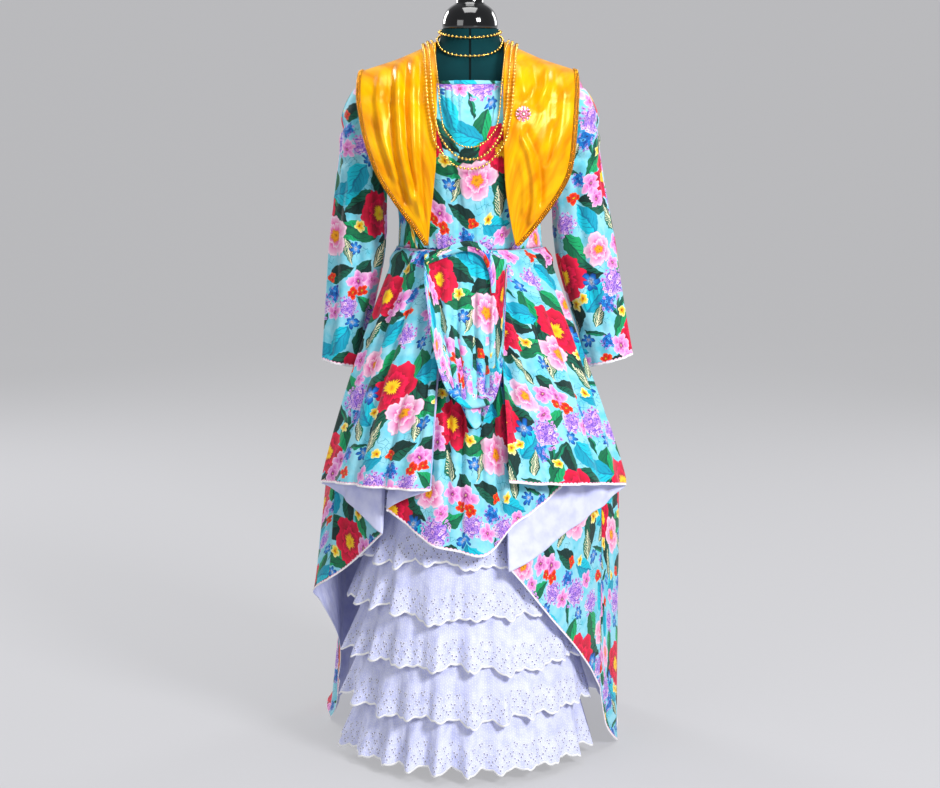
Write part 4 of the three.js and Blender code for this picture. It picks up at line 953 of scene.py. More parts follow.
@dataclass(frozen=True)
class BroderieAnglaise:
    """Cotton lawn with eyelets worked in groups above a scalloped hem, each with a raised stitched ring.
    Painted shade tints the lawn lilac, darker in noise patches, and fills each uncut hole grey-lilac.
    """

    scallop: float = 24.0  # width of a scallop
    eyelet: float = 1.7  # radius of a hole
    ring: float = 3.1  # outer radius of its stitching
    hem_stitch: float = 4.5  # width of the satin stitch on the edge
    # Holes of one group: place across a scallop and height above the hem.
    holes: tuple = (
        (12.0, 12.0), (7.5, 19.0), (16.5, 19.0), (0.0, 27.0), (3.6, 33.5), (20.4, 33.5), (12.0, 46.0),
        (8.4, 52.0), (15.6, 52.0),
    )

    def material(self) -> Material:
        """The flounce cloth, whose UV is in metres: across from the side, and up from the hem."""
        made, g = new_material("broderie anglaise")
        cloth = on_cloth(g, "hem")
        high = g.add("SeparateXYZ", cloth).node.outputs["Y"]
        nearest = None
        for x, y in self.holes:
            away = g.add("VectorMath SUBTRACT", cloth, (x, y, 0.0))
            # Wrapped over a scallop across, and far past the flounce's depth upwards.
            half = self.scallop / 2
            away = g.add("VectorMath WRAP", away, (half, 500.0, 1.0), (-half, -500.0, -1.0))
            r = g.add("VectorMath LENGTH", away, out="Value")
            nearest = r if nearest is None else g.add("MINIMUM", nearest, r)
        # The holes are not cut: each is a spot of painted shade, standing for the shaded layer behind.
        painted_hole_shade = g.add("LESS_THAN", nearest, self.eyelet)
        ring = g.add("MapRange", nearest, self.eyelet, self.ring, 1.0, 0.0)
        ring = g.add("MULTIPLY", ring, g.add("SUBTRACT", 1.0, painted_hole_shade))
        edge = g.add("LESS_THAN", high, self.hem_stitch)
        crumple = g.add("TexNoise", cloth, at={"Scale": 0.04, "Detail": 3.0}, out=0)
        sprig = g.add("TexVoronoi", cloth, voronoi_dimensions="2D", at={"Scale": 0.16, "Randomness": 0.4})
        raised = g.add("MapRange", sprig, 0.12, 0.3, 0.35, 0.0)
        stitched = g.add("MAXIMUM", g.add("MAXIMUM", ring, edge), raised)
        height = g.add("MULTIPLY_ADD", crumple, 1.2, g.add("MULTIPLY", stitched, 0.55))
        # Painted shade: the white lawn is coloured lilac, darker in noise patches.
        colour = g.add("ValToRGB", crumple, stops=((0.3, "#c0c5f0"), (0.6, "#d5d9fa")))
        colour = g.add("Mix RGBA", at={0: stitched, 6: colour, 7: linear("#ffffff")}, out=2)
        # Painted shade: the holes are coloured grey-lilac.
        colour = g.add("Mix RGBA", at={0: painted_hole_shade, 6: colour, 7: linear("#7f7ea8")}, out=2)
        look = {"Base Color": colour, "Roughness": 0.82, "Sheen Weight": 0.2, "Specular IOR Level": 0.3}
        g.end(look, height, strength=0.6, deep=0.003)
        return made


@dataclass(frozen=True)
class GoldSatin:
    """Polyester satin: long floats on its face give a strong soft gloss across the folds. Its colour carries
    painted shade: deep orange in noise patches over the yellow.
    """

    face: str = "#f7b200"
    # Painted shade: the deep orange laid in noise patches.
    deep: str = "#dc8400"

    def material(self) -> Material:
        """The scarf's material."""
        made, g = new_material("gold satin")
        cloth = on_cloth(g)
        soft = g.add("TexNoise", cloth, at={"Scale": 0.02, "Detail": 3.0}, out=0)
        floats = g.add("VectorMath MULTIPLY", cloth, (2.6, 0.12, 0.0))
        grain = g.add("TexNoise", floats, at={"Scale": 1.0, "Detail": 1.0}, out=0)
        height = g.add("MULTIPLY_ADD", grain, 0.02, g.add("MULTIPLY", soft, 1.2))
        # Painted shade: deep orange patches laid by noise, not by the folds.
        colour = g.add("ValToRGB", soft, stops=((0.3, self.deep), (0.65, self.face)))
        look = {"Base Color": colour, "Roughness": 0.3, "Specular IOR Level": 0.7, "Anisotropic": 0.5}
        g.end(look | {"Specular Tint": linear("#ffe08a")}, height, strength=0.4)
        return made


@dataclass(frozen=True)
class Gloss:
    """A hard finish: plated beads and sequins, cut glass, pearl, lacquer or polished tube."""

    name: str
    colour: str
    metal: float
    rough: float
    uneven: float = 0.06  # how far the roughness varies over the surface
    grain: float = 60.0  # patches in a metre
    coat: float = 0.0

    def material(self) -> Material:
        """The finish, with roughness that varies a little over Object coordinates."""
        made, g = new_material(self.name)
        place = g.add("TexCoord", out="Object")
        patch = g.add("TexNoise", place, at={"Scale": self.grain, "Detail": 2.0}, out=0)
        least, most = max(self.rough - self.uneven, 0.02), self.rough + self.uneven
        rough = g.add("MapRange", patch, 0.3, 0.7, least, most)
        look = {"Base Color": linear(self.colour), "Metallic": self.metal, "Roughness": rough}
        coat = {"Coat Weight": self.coat, "Coat Roughness": 0.08}
        g.add("OutputMaterial", g.add("BsdfPrincipled", at=look | coat))
        return made


@dataclass(frozen=True)
class TealJersey:
    """The form's stretch cover: fine knit, matt, with one stitched seam down the centre front."""

    colour: str = "#03353a"
    seam: str = "#010d0f"
    seam_half: float = 0.0022  # half the seam's width in metres

    def material(self) -> Material:
        """The cover's material, from Object coordinates in metres."""
        made, g = new_material("teal jersey")
        place = g.add("TexCoord", out="Object")
        x = g.add("SeparateXYZ", place)
        off = g.add("ABSOLUTE", x)
        seam = g.add("MapRange", off, self.seam_half * 0.6, self.seam_half * 1.4, 1.0, 0.0)
        knit = g.add("TexNoise", place, at={"Scale": 900.0, "Detail": 1.0}, out=0)
        patch = g.add("TexNoise", place, at={"Scale": 14.0, "Detail": 2.0}, out=0)
        colour = g.add("ValToRGB", patch, stops=((0.3, "#02292e"), (0.7, self.colour)))
        colour = g.add("Mix RGBA", at={0: seam, 6: colour, 7: linear(self.seam)}, out=2)
        height = g.add("MULTIPLY_ADD", knit, 0.2, g.add("MULTIPLY", seam, -1.0))
        g.end({"Base Color": colour, "Roughness": 0.9, "Specular IOR Level": 0.12}, height, deep=0.001)
        return made


class Finishes:
    """Every finish of the outfit, each made once."""

    def __init__(self) -> None:
        """Builds all the materials."""
        self.cotton = PrintedCotton().material()
        self.edged = PrintedCotton(edging=6.5).material()
        # The printed cotton's unprinted back: a cool white darkened towards lilac as painted shade, with more
        # painted lilac shade in noise patches rather than in its folds.
        self.wrong = WhiteCotton("cotton wrong side").material()
        # The petticoat's plain cotton under its flounces.
        self.lawn = WhiteCotton("cotton lawn", tint="#f7f6ff").material()
        self.eyelet = BroderieAnglaise().material()
        self.satin = GoldSatin().material()
        # Cupped gold sequins: bright points beside dark ones.
        self.sequin = Gloss("gold sequin", "#e8a21e", 1.0, 0.22, uneven=0.14, grain=700.0).material()
        # Dark antique gold tape under the sequins.
        self.tape = Gloss("gold tape", "#8a5510", 0.5, 0.5, grain=900.0).material()
        # Thin gold plate on hollow beads, each with a small highlight.
        self.gilt = Gloss("gilt bead", "#f0c566", 1.0, 0.16, uneven=0.08, grain=500.0).material()
        # Foil-backed pink cut glass.
        self.rose = Gloss("rose rhinestone", "#f08cb4", 0.35, 0.12, grain=600.0, coat=1.0).material()
        # Pale pearl drops between the stones.
        self.pearl = Gloss("pearl", "#fbeef2", 0.1, 0.2, grain=400.0, coat=0.8).material()
        self.jersey = TealJersey().material()
        # Black lacquered turned wood on the neck, nearly a mirror.
        self.lacquer = Gloss("black lacquer", "#08090a", 0.0, 0.1, grain=20.0, coat=1.0).material()
        # Brushed steel of the pole.
        self.steel = Gloss("brushed steel", "#b9bcc0", 1.0, 0.3, grain=90.0).material()


# ---- relief ----


@dataclass(frozen=True)
class Fold:
    """A soft ridge, or a trough where high is negative, along a given line."""

    high: float
    half: float
    line: tuple[tuple[float, float], ...]

    def lift(self, u: Array, v: Array) -> Array:
        """Height at places u, v: high * exp(-(d / half)²) with d the distance to the line."""
        near = np.full(np.broadcast(u, v).shape, np.inf)
        for (u0, v0), (u1, v1) in zip(self.line[:-1], self.line[1:]):
            du, dv = u1 - u0, v1 - v0
            t = np.clip(((u - u0) * du + (v - v0) * dv) / (du * du + dv * dv), 0, 1)
            near = np.minimum(near, np.hypot(u - u0 - t * du, v - v0 - t * dv))
        return self.high * np.exp(-((near / self.half) ** 2))


def fold_rows(*rows: tuple[float, ...]) -> tuple[Fold, ...]:
    """Folds from rows of high, half and then u and v by turns along the line."""
    return tuple(Fold(high, half, tuple(zip(line[::2], line[1::2]))) for high, half, *line in rows)


def folds_at(folds: tuple[Fold, ...], u: Array, v: Array) -> Array:
    """The sum of all the folds at places u, v."""
    return sum((fold.lift(u, v) for fold in folds), np.zeros(np.broadcast(u, v).shape))


def waves(degrees: Array, counts: tuple[int, ...], seed: int) -> Array:
    """An uneven wave round the body, about -1 to 1, that closes on itself: sines of whole counts a turn."""
    chance = np.random.default_rng(seed)
    t = np.radians(degrees)
    total = sum(np.sin(n * t + chance.uniform(0, 2 * math.pi)) for n in counts)
    return total / (0.72 * len(counts))


# ---- dress form ----


def closed(grid: Array, ends: list) -> tuple[Array, list]:
    """Rings from the bottom up, each end closed by a fan of triangles round a point, as points and faces."""
    rows, sides = grid.shape[:2]
    faces, _ = Surface(grid, wrap=True, flip=True).faces()
    points = np.concatenate([grid.reshape(-1, 3), ends])
    k = np.arange(sides)
    after = (k + 1) % sides
    last = (rows - 1) * sides
    fans = [np.stack([after, k, np.full(sides, len(points) - 2)], axis=1)]
    fans.append(np.stack([last + k, last + after, np.full(sides, len(points) - 1)], axis=1))
    return points, faces.tolist() + np.concatenate(fans).tolist()


def lathe(profile: list[tuple[float, float]], sides: int, y: float) -> tuple[Array, list]:
    """A turned shape about an upright axis, closed by a point where the profile meets it.

    Args:
        profile: Radius and height pairs, from the bottom up, the first and last on the axis.
        sides: Points round it.
        y: The axis's place.

    Returns:
        Points and faces.
    """
    turn = 2 * np.pi * np.arange(sides) / sides
    rings = np.array(profile[1:-1], float)
    x = np.outer(rings[:, 0], np.cos(turn))
    deep = np.outer(rings[:, 0], np.sin(turn))
    grid = np.stack([x, y + deep, np.repeat(rings[:, 1:], sides, axis=1)], axis=-1)
    return closed(grid, [[0, y, profile[0][1]], [0, y, profile[-1][1]]])


@dataclass
class DressForm:
    """A limbless dress form: jersey torso, lacquered neck cap, a steel pole and a lacquered foot."""

    finishes: Finishes
    nodes: dict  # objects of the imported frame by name
    around: int = 90
    rows: int = 90
    # Neck cap, turned: a flange, a low dome and a knob.
    cap: tuple = (
        (0, 1515.4), (55, 1515.4), (56.6, 1517.5), (57, 1522), (56.6, 1530), (55, 1538), (51.8, 1546.5),
        (47, 1554), (41, 1559.5), (34, 1564), (30, 1566.5), (28.2, 1570), (28, 1585), (28, 1600),
        (27, 1604.5), (22, 1609), (12, 1611.4), (0, 1612),
    )

    def torso(self) -> Object:
        """The torso: ellipses eased up through the form's table, closed by flat ends."""
        low, high = 822.0, 1515.0
        z = np.linspace(low, high, self.rows)
        degrees = 360 * np.arange(self.around) / self.around
        body = on_section(TORSO, z[:, None], degrees[None])
        points, faces = closed(body, [[0, TORSO.eased("y", h), h] for h in (low, high)])
        made = object_from("form_torso", points, faces, [self.finishes.jersey])
        made.data.set_sharp_from_angle(angle=math.radians(50))
        return made

    def neck_cap(self) -> Object:
        """The lacquered cap and its knob."""
        points, faces = lathe(list(self.cap), 72, 10.0)
        made = object_from("form_neck_cap", points, faces, [self.finishes.lacquer])
        made.data.set_sharp_from_angle(angle=math.radians(50))
        return made

    def build(self) -> None:
        """Makes the torso and cap, and gives the pole and foot their finish."""
        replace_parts(self.torso(), "form_torso")
        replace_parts(self.neck_cap(), "form_neck_cap")
        self.nodes["form_pole"].material_slots[0].material = self.finishes.steel
        self.nodes["form_foot"].material_slots[0].material = self.finishes.lacquer


# ---- gown ----


@dataclass
class Bodice:
    """Front and back of the gathered bodice, and the small gathered band at the neckline."""

    finishes: Finishes
    cols: int = 180
    rows: int = 85
    yoke: int = 5  # share of the rows above the first level, as one in so many
    level: float = 1390.0  # the first level that spans between the side seams
    seam: float = 1072.5  # lower edge
    spread: float = 2.8  # the folds' places are angles from the piece's middle times this
    placket: float = 2.2  # how far the front's opening stands up
    # Folds by angle times spread, and height.
    front_folds: tuple[Fold, ...] = fold_rows(
        (2.2, 6, -70, 1392, -52, 1300, -40, 1210), (-4.2, 6, -58, 1396, -42, 1310, -30, 1200, -24, 1100),
        (2.0, 6, -30, 1392, -24, 1320, -22, 1240), (2.4, 7, 40, 1396, 34, 1300, 30, 1190, 22, 1100),
        (-4.2, 6, 56, 1392, 48, 1290, 40, 1180), (2.0, 8, 84, 1380, 78, 1290, 60, 1170),
        (-2.6, 9, -110, 1330, -88, 1240, -62, 1140), (2.6, 8, -130, 1290, -104, 1200, -84, 1110),
        (-3.0, 9, 124, 1310, 98, 1210, 72, 1110), (2.2, 8, 140, 1260, 120, 1180, 104, 1100),
        (-3.6, 5, 34, 1280, 30, 1180, 44, 1100), (-3.4, 4, -24, 1210, -14, 1140, -18, 1084),
        (-3.6, 2.6, -34, 1400, -33, 1376, -31, 1352), (-3.6, 2.6, -22, 1400, -22, 1370, -21, 1344),
        (-3.6, 2.6, 33, 1400, 34, 1372, 34, 1350), (-3.8, 2.6, 46, 1400, 46, 1378, 44, 1340),
        (-3.4, 2.6, -46, 1400, -45, 1380, -42, 1362),
    )
    back_folds: tuple[Fold, ...] = fold_rows(
        (-3.0, 10, -60, 1390, -50, 1290, -34, 1160, -30, 1084),
        (-2.6, 9, 52, 1392, 46, 1300, 40, 1180, 30, 1090), (-2.4, 9, 2, 1380, -4, 1260, 6, 1120),
        (-3.2, 10, -150, 1310, -110, 1220, -80, 1120), (-2.8, 10, 146, 1290, 116, 1200, 92, 1110),
        (-2.0, 8, 98, 1380, 90, 1300, 80, 1230),
    )

    def top_edge(self, top: Table, u: Array) -> tuple[Array, Array]:
        """Angle and height of the upper edge at u, from -1 to 1."""
        return np.sign(u) * top.eased("at", np.abs(u), along="u"), top.eased("z", np.abs(u), along="u")

    def places(self, top: Table, cols: int) -> tuple[Array, Array]:
        """Angle and height over the grid of one piece.

        From the upper edge to the first level the angle goes a share^(1 - 0.65 |u|) of the way to that
        level's, and below it each level spans between the side seams.
        """
        u = np.linspace(-1, 1, cols + 1)
        edge_at, edge_z = self.top_edge(top, u)
        high = self.rows // self.yoke
        share = (np.arange(high) / high)[:, None]
        first = BODICE_SIDE.eased("at", self.level)
        above_at = mix(edge_at, u * first, share ** mix(1.0, 0.35, np.abs(u)))
        above_z = mix(edge_z, np.minimum(self.level, edge_z - 12), share)
        z = np.linspace(self.level, self.seam, self.rows - high + 1)[:, None]
        below_at = u * BODICE_SIDE.eased("at", z)
        at = np.concatenate([above_at, below_at])
        return at, np.concatenate([above_z, np.broadcast_to(z, below_at.shape)])

    def relief(self, at: Array, z: Array, folds: tuple[Fold, ...], front: bool) -> Array:
        """How far the cloth stands off its plain form: waist gathers, folds and the front's raised placket.

        The gathers are fine waves round the waist that fade upwards as exp(-(z - 1072) / 70), and everything
        fades out towards the shoulders.
        """
        ripple = 1 + waves(at + (0 if front else 180), (53, 67, 81, 38), 5)
        gathers = -1.9 * ripple * np.exp(-(z - WAIST_Z) / 70)
        soft = 1.9 * waves(at + z * 0.05, (7, 11, 17), 9) * smooth(z, 1090, 1180)
        x = at * self.spread
        total = gathers + soft + folds_at(folds, x, z)
        if front:
            total += self.placket * (smooth(x, -18, -16) - smooth(x, 22, 24)) * smooth(z, WAIST_Z, 1090)
        else:
            total = np.minimum(total, 0.6)
        return total * smooth(z, 1406, 1392)

    def sheet(self, front: bool) -> Array:
        """The grid of the front or the back piece."""
        at, z = self.places(FRONT_TOP if front else BACK_TOP, self.cols if front else self.cols // 2)
        lift = self.relief(at, z, self.front_folds if front else self.back_folds, front)
        return on_section(BODICE, z, at + (0 if front else 180), lift)

    def band(self, sheet: Array) -> Array:
        """The gathered band: it ripples along the middle of the neckline, just outside its edge."""
        span = int(self.cols * 2 / 18)
        middle = self.cols // 2
        edge = sheet[0, middle - span : middle + span + 1]
        up = edge - sheet[4, middle - span : middle + span + 1]
        up /= np.linalg.norm(up, axis=-1, keepdims=True)
        rise = np.linspace(9, 0.4, 10)[:, None, None]
        k = np.arange(edge.shape[0])
        ripple = 1.1 * np.sin(k * 0.9) * np.clip(rise[..., 0] / 9, 0, 1)
        stand = 1.8 + 0.5 * rise[..., 0] / 9 + ripple * 0.4
        return edge[None] + up[None] * rise + np.array([0, -1.0, 0]) * stand[..., None]

    def build(self) -> None:
        """Makes the three pieces."""
        front = self.sheet(True)
        for name, grid, begin, flat, under in (
            ("bodice_front", front, (40, -70), (0.52, 0.40), "form_torso"),
            ("bodice_back", self.sheet(False), (0, 0), (0.52, 0.42), "form_torso"),
            ("neckband", self.band(front), (0, 0), (0.115, 0.0102), "bodice_front"),
        ):
            surface = Surface(grid, begin=begin)
            made = surface.cloth(name, COTTON, self.finishes.cotton, self.finishes.wrong)
            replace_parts(made, name)


@dataclass
class Sleeve:
    """One loose sleeve: rings down the arm's line, with slack folds at the elbow and long ones below."""

    finishes: Finishes
    name: str
    rings: Table
    flat: tuple[float, float]
    around: int = 76
    rows: int = 130
    girth: float = 52.0  # mean radius of the arm, on which the folds are placed
    deep: float = 1.6  # how many times deeper the folds are than listed
    slack: float = 4.0  # mean depth of the slow waves between them
    # Folds by millimetres round the arm from its outer side, towards the back, and share of the rows down.
    folds: tuple[Fold, ...] = fold_rows(
        (-5.0, 13, -120, 260, -60, 330, 20, 390), (-4.0, 10, -150, 370, -90, 430, -30, 470),
        (-5.5, 14, 60, 300, 110, 380, 150, 470), (-5.0, 12, -40, 520, -30, 650, -44, 800, -40, 960),
        (-4.0, 10, -92, 470, -84, 600, -90, 760, -78, 900), (-5.0, 13, 20, 440, 34, 600, 24, 780, 30, 990),
        (-4.4, 11, 90, 520, 80, 660, 88, 840, 84, 990), (-3.6, 9, -140, 560, -132, 700, -140, 880),
        (-3.4, 9, -60, 180, -20, 230, 30, 260), (-3.0, 10, 140, 640, 130, 780, 134, 930),
    )

    def grid(self) -> Array:
        """Points of the sleeve.

        A ring's point is its centre, plus d sin t fore and aft, plus w cos t along its tilted upper axis.
        Both half widths shrink by the folds, and the hem ripples a little.
        """
        share = np.linspace(0, 1, self.rows)
        r = self.rings.through(share * (len(self.rings.rows) - 1))
        t = (2 * np.pi * np.arange(self.around) / self.around)[None]
        side = (t + np.pi) % (2 * np.pi) - np.pi
        hand = np.sign(self.rings.rows[0][0])
        down = np.broadcast_to(share[:, None] * 1000, (self.rows, self.around))
        sunk = folds_at(self.folds, side * self.girth, down)
        slack = 1 + waves(np.degrees(t) + down * 0.03, (5, 7, 9), 21 + int(hand))
        slack = -self.slack * slack * smooth(down, 150, 420)
        sunk = (self.deep * sunk + slack) * smooth(down, 90, 220) * (1 - 0.35 * smooth(down, 960, 1000))
        tilt = np.radians(r["tilt"])[:, None]
        w = r["w"][:, None] + sunk
        d = r["d"][:, None] + sunk
        x = r["x"][:, None] + hand * np.cos(tilt) * w * np.cos(t)
        y = r["y"][:, None] + d * np.sin(t)
        z = r["z"][:, None] + np.sin(tilt) * w * np.cos(t)
        return np.stack([x, y, z], axis=-1)

    def build(self) -> None:
        """Makes the sleeve."""
        hand = np.sign(self.rings.rows[0][0])
        surface = Surface(self.grid(), wrap=True, flip=hand < 0, from_hem=True, begin=(95 * hand, 60 * hand))
        made = surface.cloth(self.name, COTTON, self.finishes.edged, self.finishes.wrong)
        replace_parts(made, self.name)


@dataclass
class SkirtPanel:
    """One panel of the gown's skirt, whose path round the body doubles back where it falls in a cascade."""

    finishes: Finishes
    name: str
    path: Table
    flip: bool
    flat: tuple[float, float]
    rests_on: tuple[str, ...]
    step: int = 14  # columns between two rows of the path
    rows: int = 84
    deepest: float = 27.0  # limit that the folds approach
    spread: float = 4.4  # the folds' places are angles times this
    # Folds by angle times spread, and height. Every layer shares them, so that stacked layers stay apart.
    folds: tuple[Fold, ...] = fold_rows(
        (-20, 10, -112, 1050, -146, 900, -166, 760, -170, 600),
        (-17, 9, -178, 1050, -206, 930, -226, 790, -236, 600),
        (-22, 12, -250, 1050, -274, 900, -288, 740, -300, 560),
        (-20, 10, 116, 1050, 142, 910, 156, 770, 160, 600),
        (-16, 8, 176, 1050, 202, 930, 218, 790, 226, 600),
        (-22, 12, 244, 1050, 266, 900, 280, 750, 286, 540), (-18, 11, 316, 1040, 328, 890, 336, 720),
        (-17, 7, 82, 1056, 92, 950, 100, 850, 104, 700),
        (-17, 7, -84, 1056, -96, 950, -106, 850, -108, 690),
        (-20, 8, -52, 900, -54, 760, -50, 600, -52, 500), (-17, 6, -14, 880, -16, 740, -20, 600, -18, 480),
        (-22, 7, 24, 880, 22, 740, 28, 600, 26, 490), (-16, 6, 58, 820, 62, 700, 64, 560),
    )

    def relief(self, degrees: Array, z: Array) -> Array:
        """Inward sinking of the cloth: fine gathers under the waist and broad folds below them.

        Gathers: a fine wave round the waist times exp(-drop / 130). Broad folds: a slow wave that grows to
        its full depth 260 mm below the waist, and is deeper on the train. The sum only sinks, as deepest
        times tanh(sum / deepest), so that nothing rises into the layer above. Every layer puffs out alike
        just below the seam.
        """
        drop = WAIST_Z - z
        fine = 2.8 * (1 + waves(degrees, (61, 47, 73, 36), 3)) * np.exp(-drop / 130)
        broad = 6.5 * (1 + waves(degrees + drop * 0.004, (19, 27, 34, 11), 4)) * smooth(drop, 10, 260)
        front = np.cos(np.radians(degrees))
        behind = 1 + 0.6 * smooth(-front, -0.1, 0.7)
        wrapped = (degrees + 180) % 360 - 180
        train = 1 + 1.1 * smooth(-front, 0.1, 0.7) * smooth(drop, 120, 700)
        total = (fine + broad) * behind * train * smooth(z, 2, 60)
        total = total - folds_at(self.folds, wrapped * self.spread, z)
        low = np.where(front > -0.2, mix(0.12, 1.0, smooth(z, 420, 700)), 1.0)
        deepest = mix(9.0, self.deepest, smooth(drop, 30, 200)) * train
        puff = 7 * np.exp(-(((drop - 20) / 13) ** 2)) * smooth(np.abs(wrapped), 30, 48)
        return puff - deepest * np.tanh(total / deepest) * low

    def grid(self) -> Array:
        """Points of the panel.

        Above FLARE_Z the radius goes from the waist's ellipse to the path's middle radius by a share
        (1 - (1 - down)^1.15)^power. Below it the radius goes on to the hem's by down^sweep, where down meets
        the floor level.
        """
        count = (len(self.path.rows) - 1) * self.step + 1
        f = self.path.through(np.linspace(0, len(self.path.rows) - 1, count))
        hem = f["hem"].clip(0)
        t = np.linspace(0, 1, self.rows)[:, None]
        z = mix(WAIST_Z, hem, 1 - (1 - t) ** 1.2)
        down = np.clip((WAIST_Z - z) / (WAIST_Z - FLARE_Z), 0, 1)
        share = (1 - (1 - down) ** 1.15) ** f["power"]
        waist = waist_radius(f["waistAt"]) + f["waistOut"]
        upper_r = mix(waist, f["midR"], share)
        upper_at = mix(f["waistAt"], f["midAt"], (WAIST_Z - z) / (WAIST_Z - FLARE_Z))
        left = np.clip((z - hem) / np.maximum(FLARE_Z - hem, 1e-6), 0, 1)
        low = 1 - left ** (1 / 1.5)
        lower_r = mix(f["midR"], f["hemR"], low ** f["sweep"])
        lower_at = mix(f["midAt"], f["hemAt"], low)
        above = z >= FLARE_Z
        radius = np.where(above, upper_r, lower_r)
        degrees = np.where(above, upper_at, lower_at)
        radius = radius + self.relief(degrees, z)
        turn = np.radians(degrees)
        return np.stack([radius * np.sin(turn), -radius * np.cos(turn), np.maximum(z, FLOOR_LIFT)], axis=-1)

    def build(self) -> None:
        """Makes the panel."""
        surface = Surface(self.grid(), flip=self.flip)
        made = surface.cloth(self.name, COTTON, self.finishes.edged, self.finishes.wrong)
        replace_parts(made, self.name)


def waist_radius(degrees: Array) -> Array:
    """Radius of the waist seam's ellipse, 1 / hypot(sin / 150, cos / 114)."""
    turn = np.radians(degrees)
    return 1 / np.hypot(np.sin(turn) / 150, np.cos(turn) / 114)


@dataclass
class Loop:
    """Skirt cloth drawn up in front and hung in a loop from the waist."""

    finishes: Finishes
    name: str
    left: float
    right: float
    top: float
    side: float
    depth: float
    out: float
    edge: Table
    flat: tuple[float, float]
    folds: tuple[Fold, ...]  # by x and height
    rise: float = 0.0  # of its upper edge in the middle
    cols: int = 84
    rows: int = 64

    def grid(self) -> Array:
        """Points of the loop.

        It hangs over the panel behind it, whose reach it repeats with 9 to 13 mm to spare, and bellies out by
        sin(pi v / 2)^0.8 towards its lower edge. Its folds sink towards the panel.
        """
        s = np.linspace(0, 1, self.cols)[None]
        v = np.linspace(0, 1, self.rows)[:, None]
        x = mix(self.left, self.right, s)
        arch = self.rise * np.maximum(1 - np.abs(2 * s - 0.86) ** 2.4, 0) * (1 - v) ** 2
        hang = self.edge.eased("hang", s, along="s") * (self.depth - self.side)
        z = self.top + arch - v * (self.side + hang)
        down = np.clip((WAIST_Z - z) / (WAIST_Z - FLARE_Z), 0, 1)
        share = 1 - (1 - down) ** 1.15
        guess = np.degrees(np.arcsin(np.clip(x / mix(130, 250, share), -1, 1)))
        flap = smooth(np.abs(guess), 4, 18)
        low = mix(256, 280, flap) + np.abs(guess) * 0.5
        panel = mix(waist_radius(guess) + mix(9, 13, flap), low, share)
        belly = np.sin(np.pi * v / 2) ** 0.8
        sunk = folds_at(self.folds, x, z) * smooth(v, 0, 0.15)
        reach = panel + mix(1.4, self.out, belly) + np.maximum(sunk, 0.6 - self.out * belly)
        y = -np.sqrt(np.maximum(reach**2 - x**2, 0))
        return np.stack(np.broadcast_arrays(x, y, z), axis=-1)

    def build(self) -> None:
        """Makes the loop."""
        made = Surface(self.grid()).cloth(self.name, COTTON, self.finishes.cotton, self.finishes.wrong)
        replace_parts(made, self.name)


@dataclass
class TuckRoll:
    """The twisted roll of cloth that arches over the waist where the loop is tucked in."""

    finishes: Finishes
    around: int = 44
    step: int = 20
    twist: float = 2.2  # turns of the folds along it
    grooves: int = 4

    def build(self) -> None:
        """Makes the roll: ellipses along the path, with grooves that twist as sin(n t - twist)."""
        count = (len(TUCK.rows) - 1) * self.step + 1
        at = np.linspace(0, len(TUCK.rows) - 1, count)
        r = TUCK.through(at)
        path = np.stack([r["x"], r["y"], r["z"]], axis=1)
        tangent = np.gradient(path, axis=0)
        outward = np.array([0, -1.0, 0])
        across = np.cross(tangent, outward)
        across /= np.linalg.norm(across, axis=1, keepdims=True)
        t = (2 * np.pi * np.arange(self.around) / self.around)[None]
        along = (at / (len(TUCK.rows) - 1))[:, None]
        phase = self.grooves * t - 2 * np.pi * self.twist * along
        depth = -(0.5 + 0.5 * np.sin(phase + 0.5 * np.sin(9 * along))) ** 3
        scale = 1 + 0.28 * depth * smooth(along, 0, 0.15) * smooth(1 - along, 0, 0.15)
        deep = (r["deep"][:, None] * scale * np.cos(t))[..., None]
        wide = (r["wide"][:, None] * scale * np.sin(t))[..., None]
        grid = path[:, None] + outward * deep + across[:, None] * wide
        surface = Surface(grid, wrap=True)
        faces, places = surface.faces()
        layers = {layer: uv.reshape(-1, 2)[places.ravel()] for layer, uv in surface.uv().items()}
        layers["hem"] = layers["hem"] + 1.0
        ends = [list(range(self.around))[::-1], [(count - 1) * self.around + k for k in range(self.around)]]
        for layer, pairs in layers.items():
            layers[layer] = np.concatenate([pairs, pairs[: 2 * self.around]])
        faces = faces.tolist() + ends
        made = object_from("tuck_roll", grid.reshape(-1, 3), faces, [self.finishes.cotton], layers)
        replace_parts(made, "tuck_roll")


# ---- petticoat ----


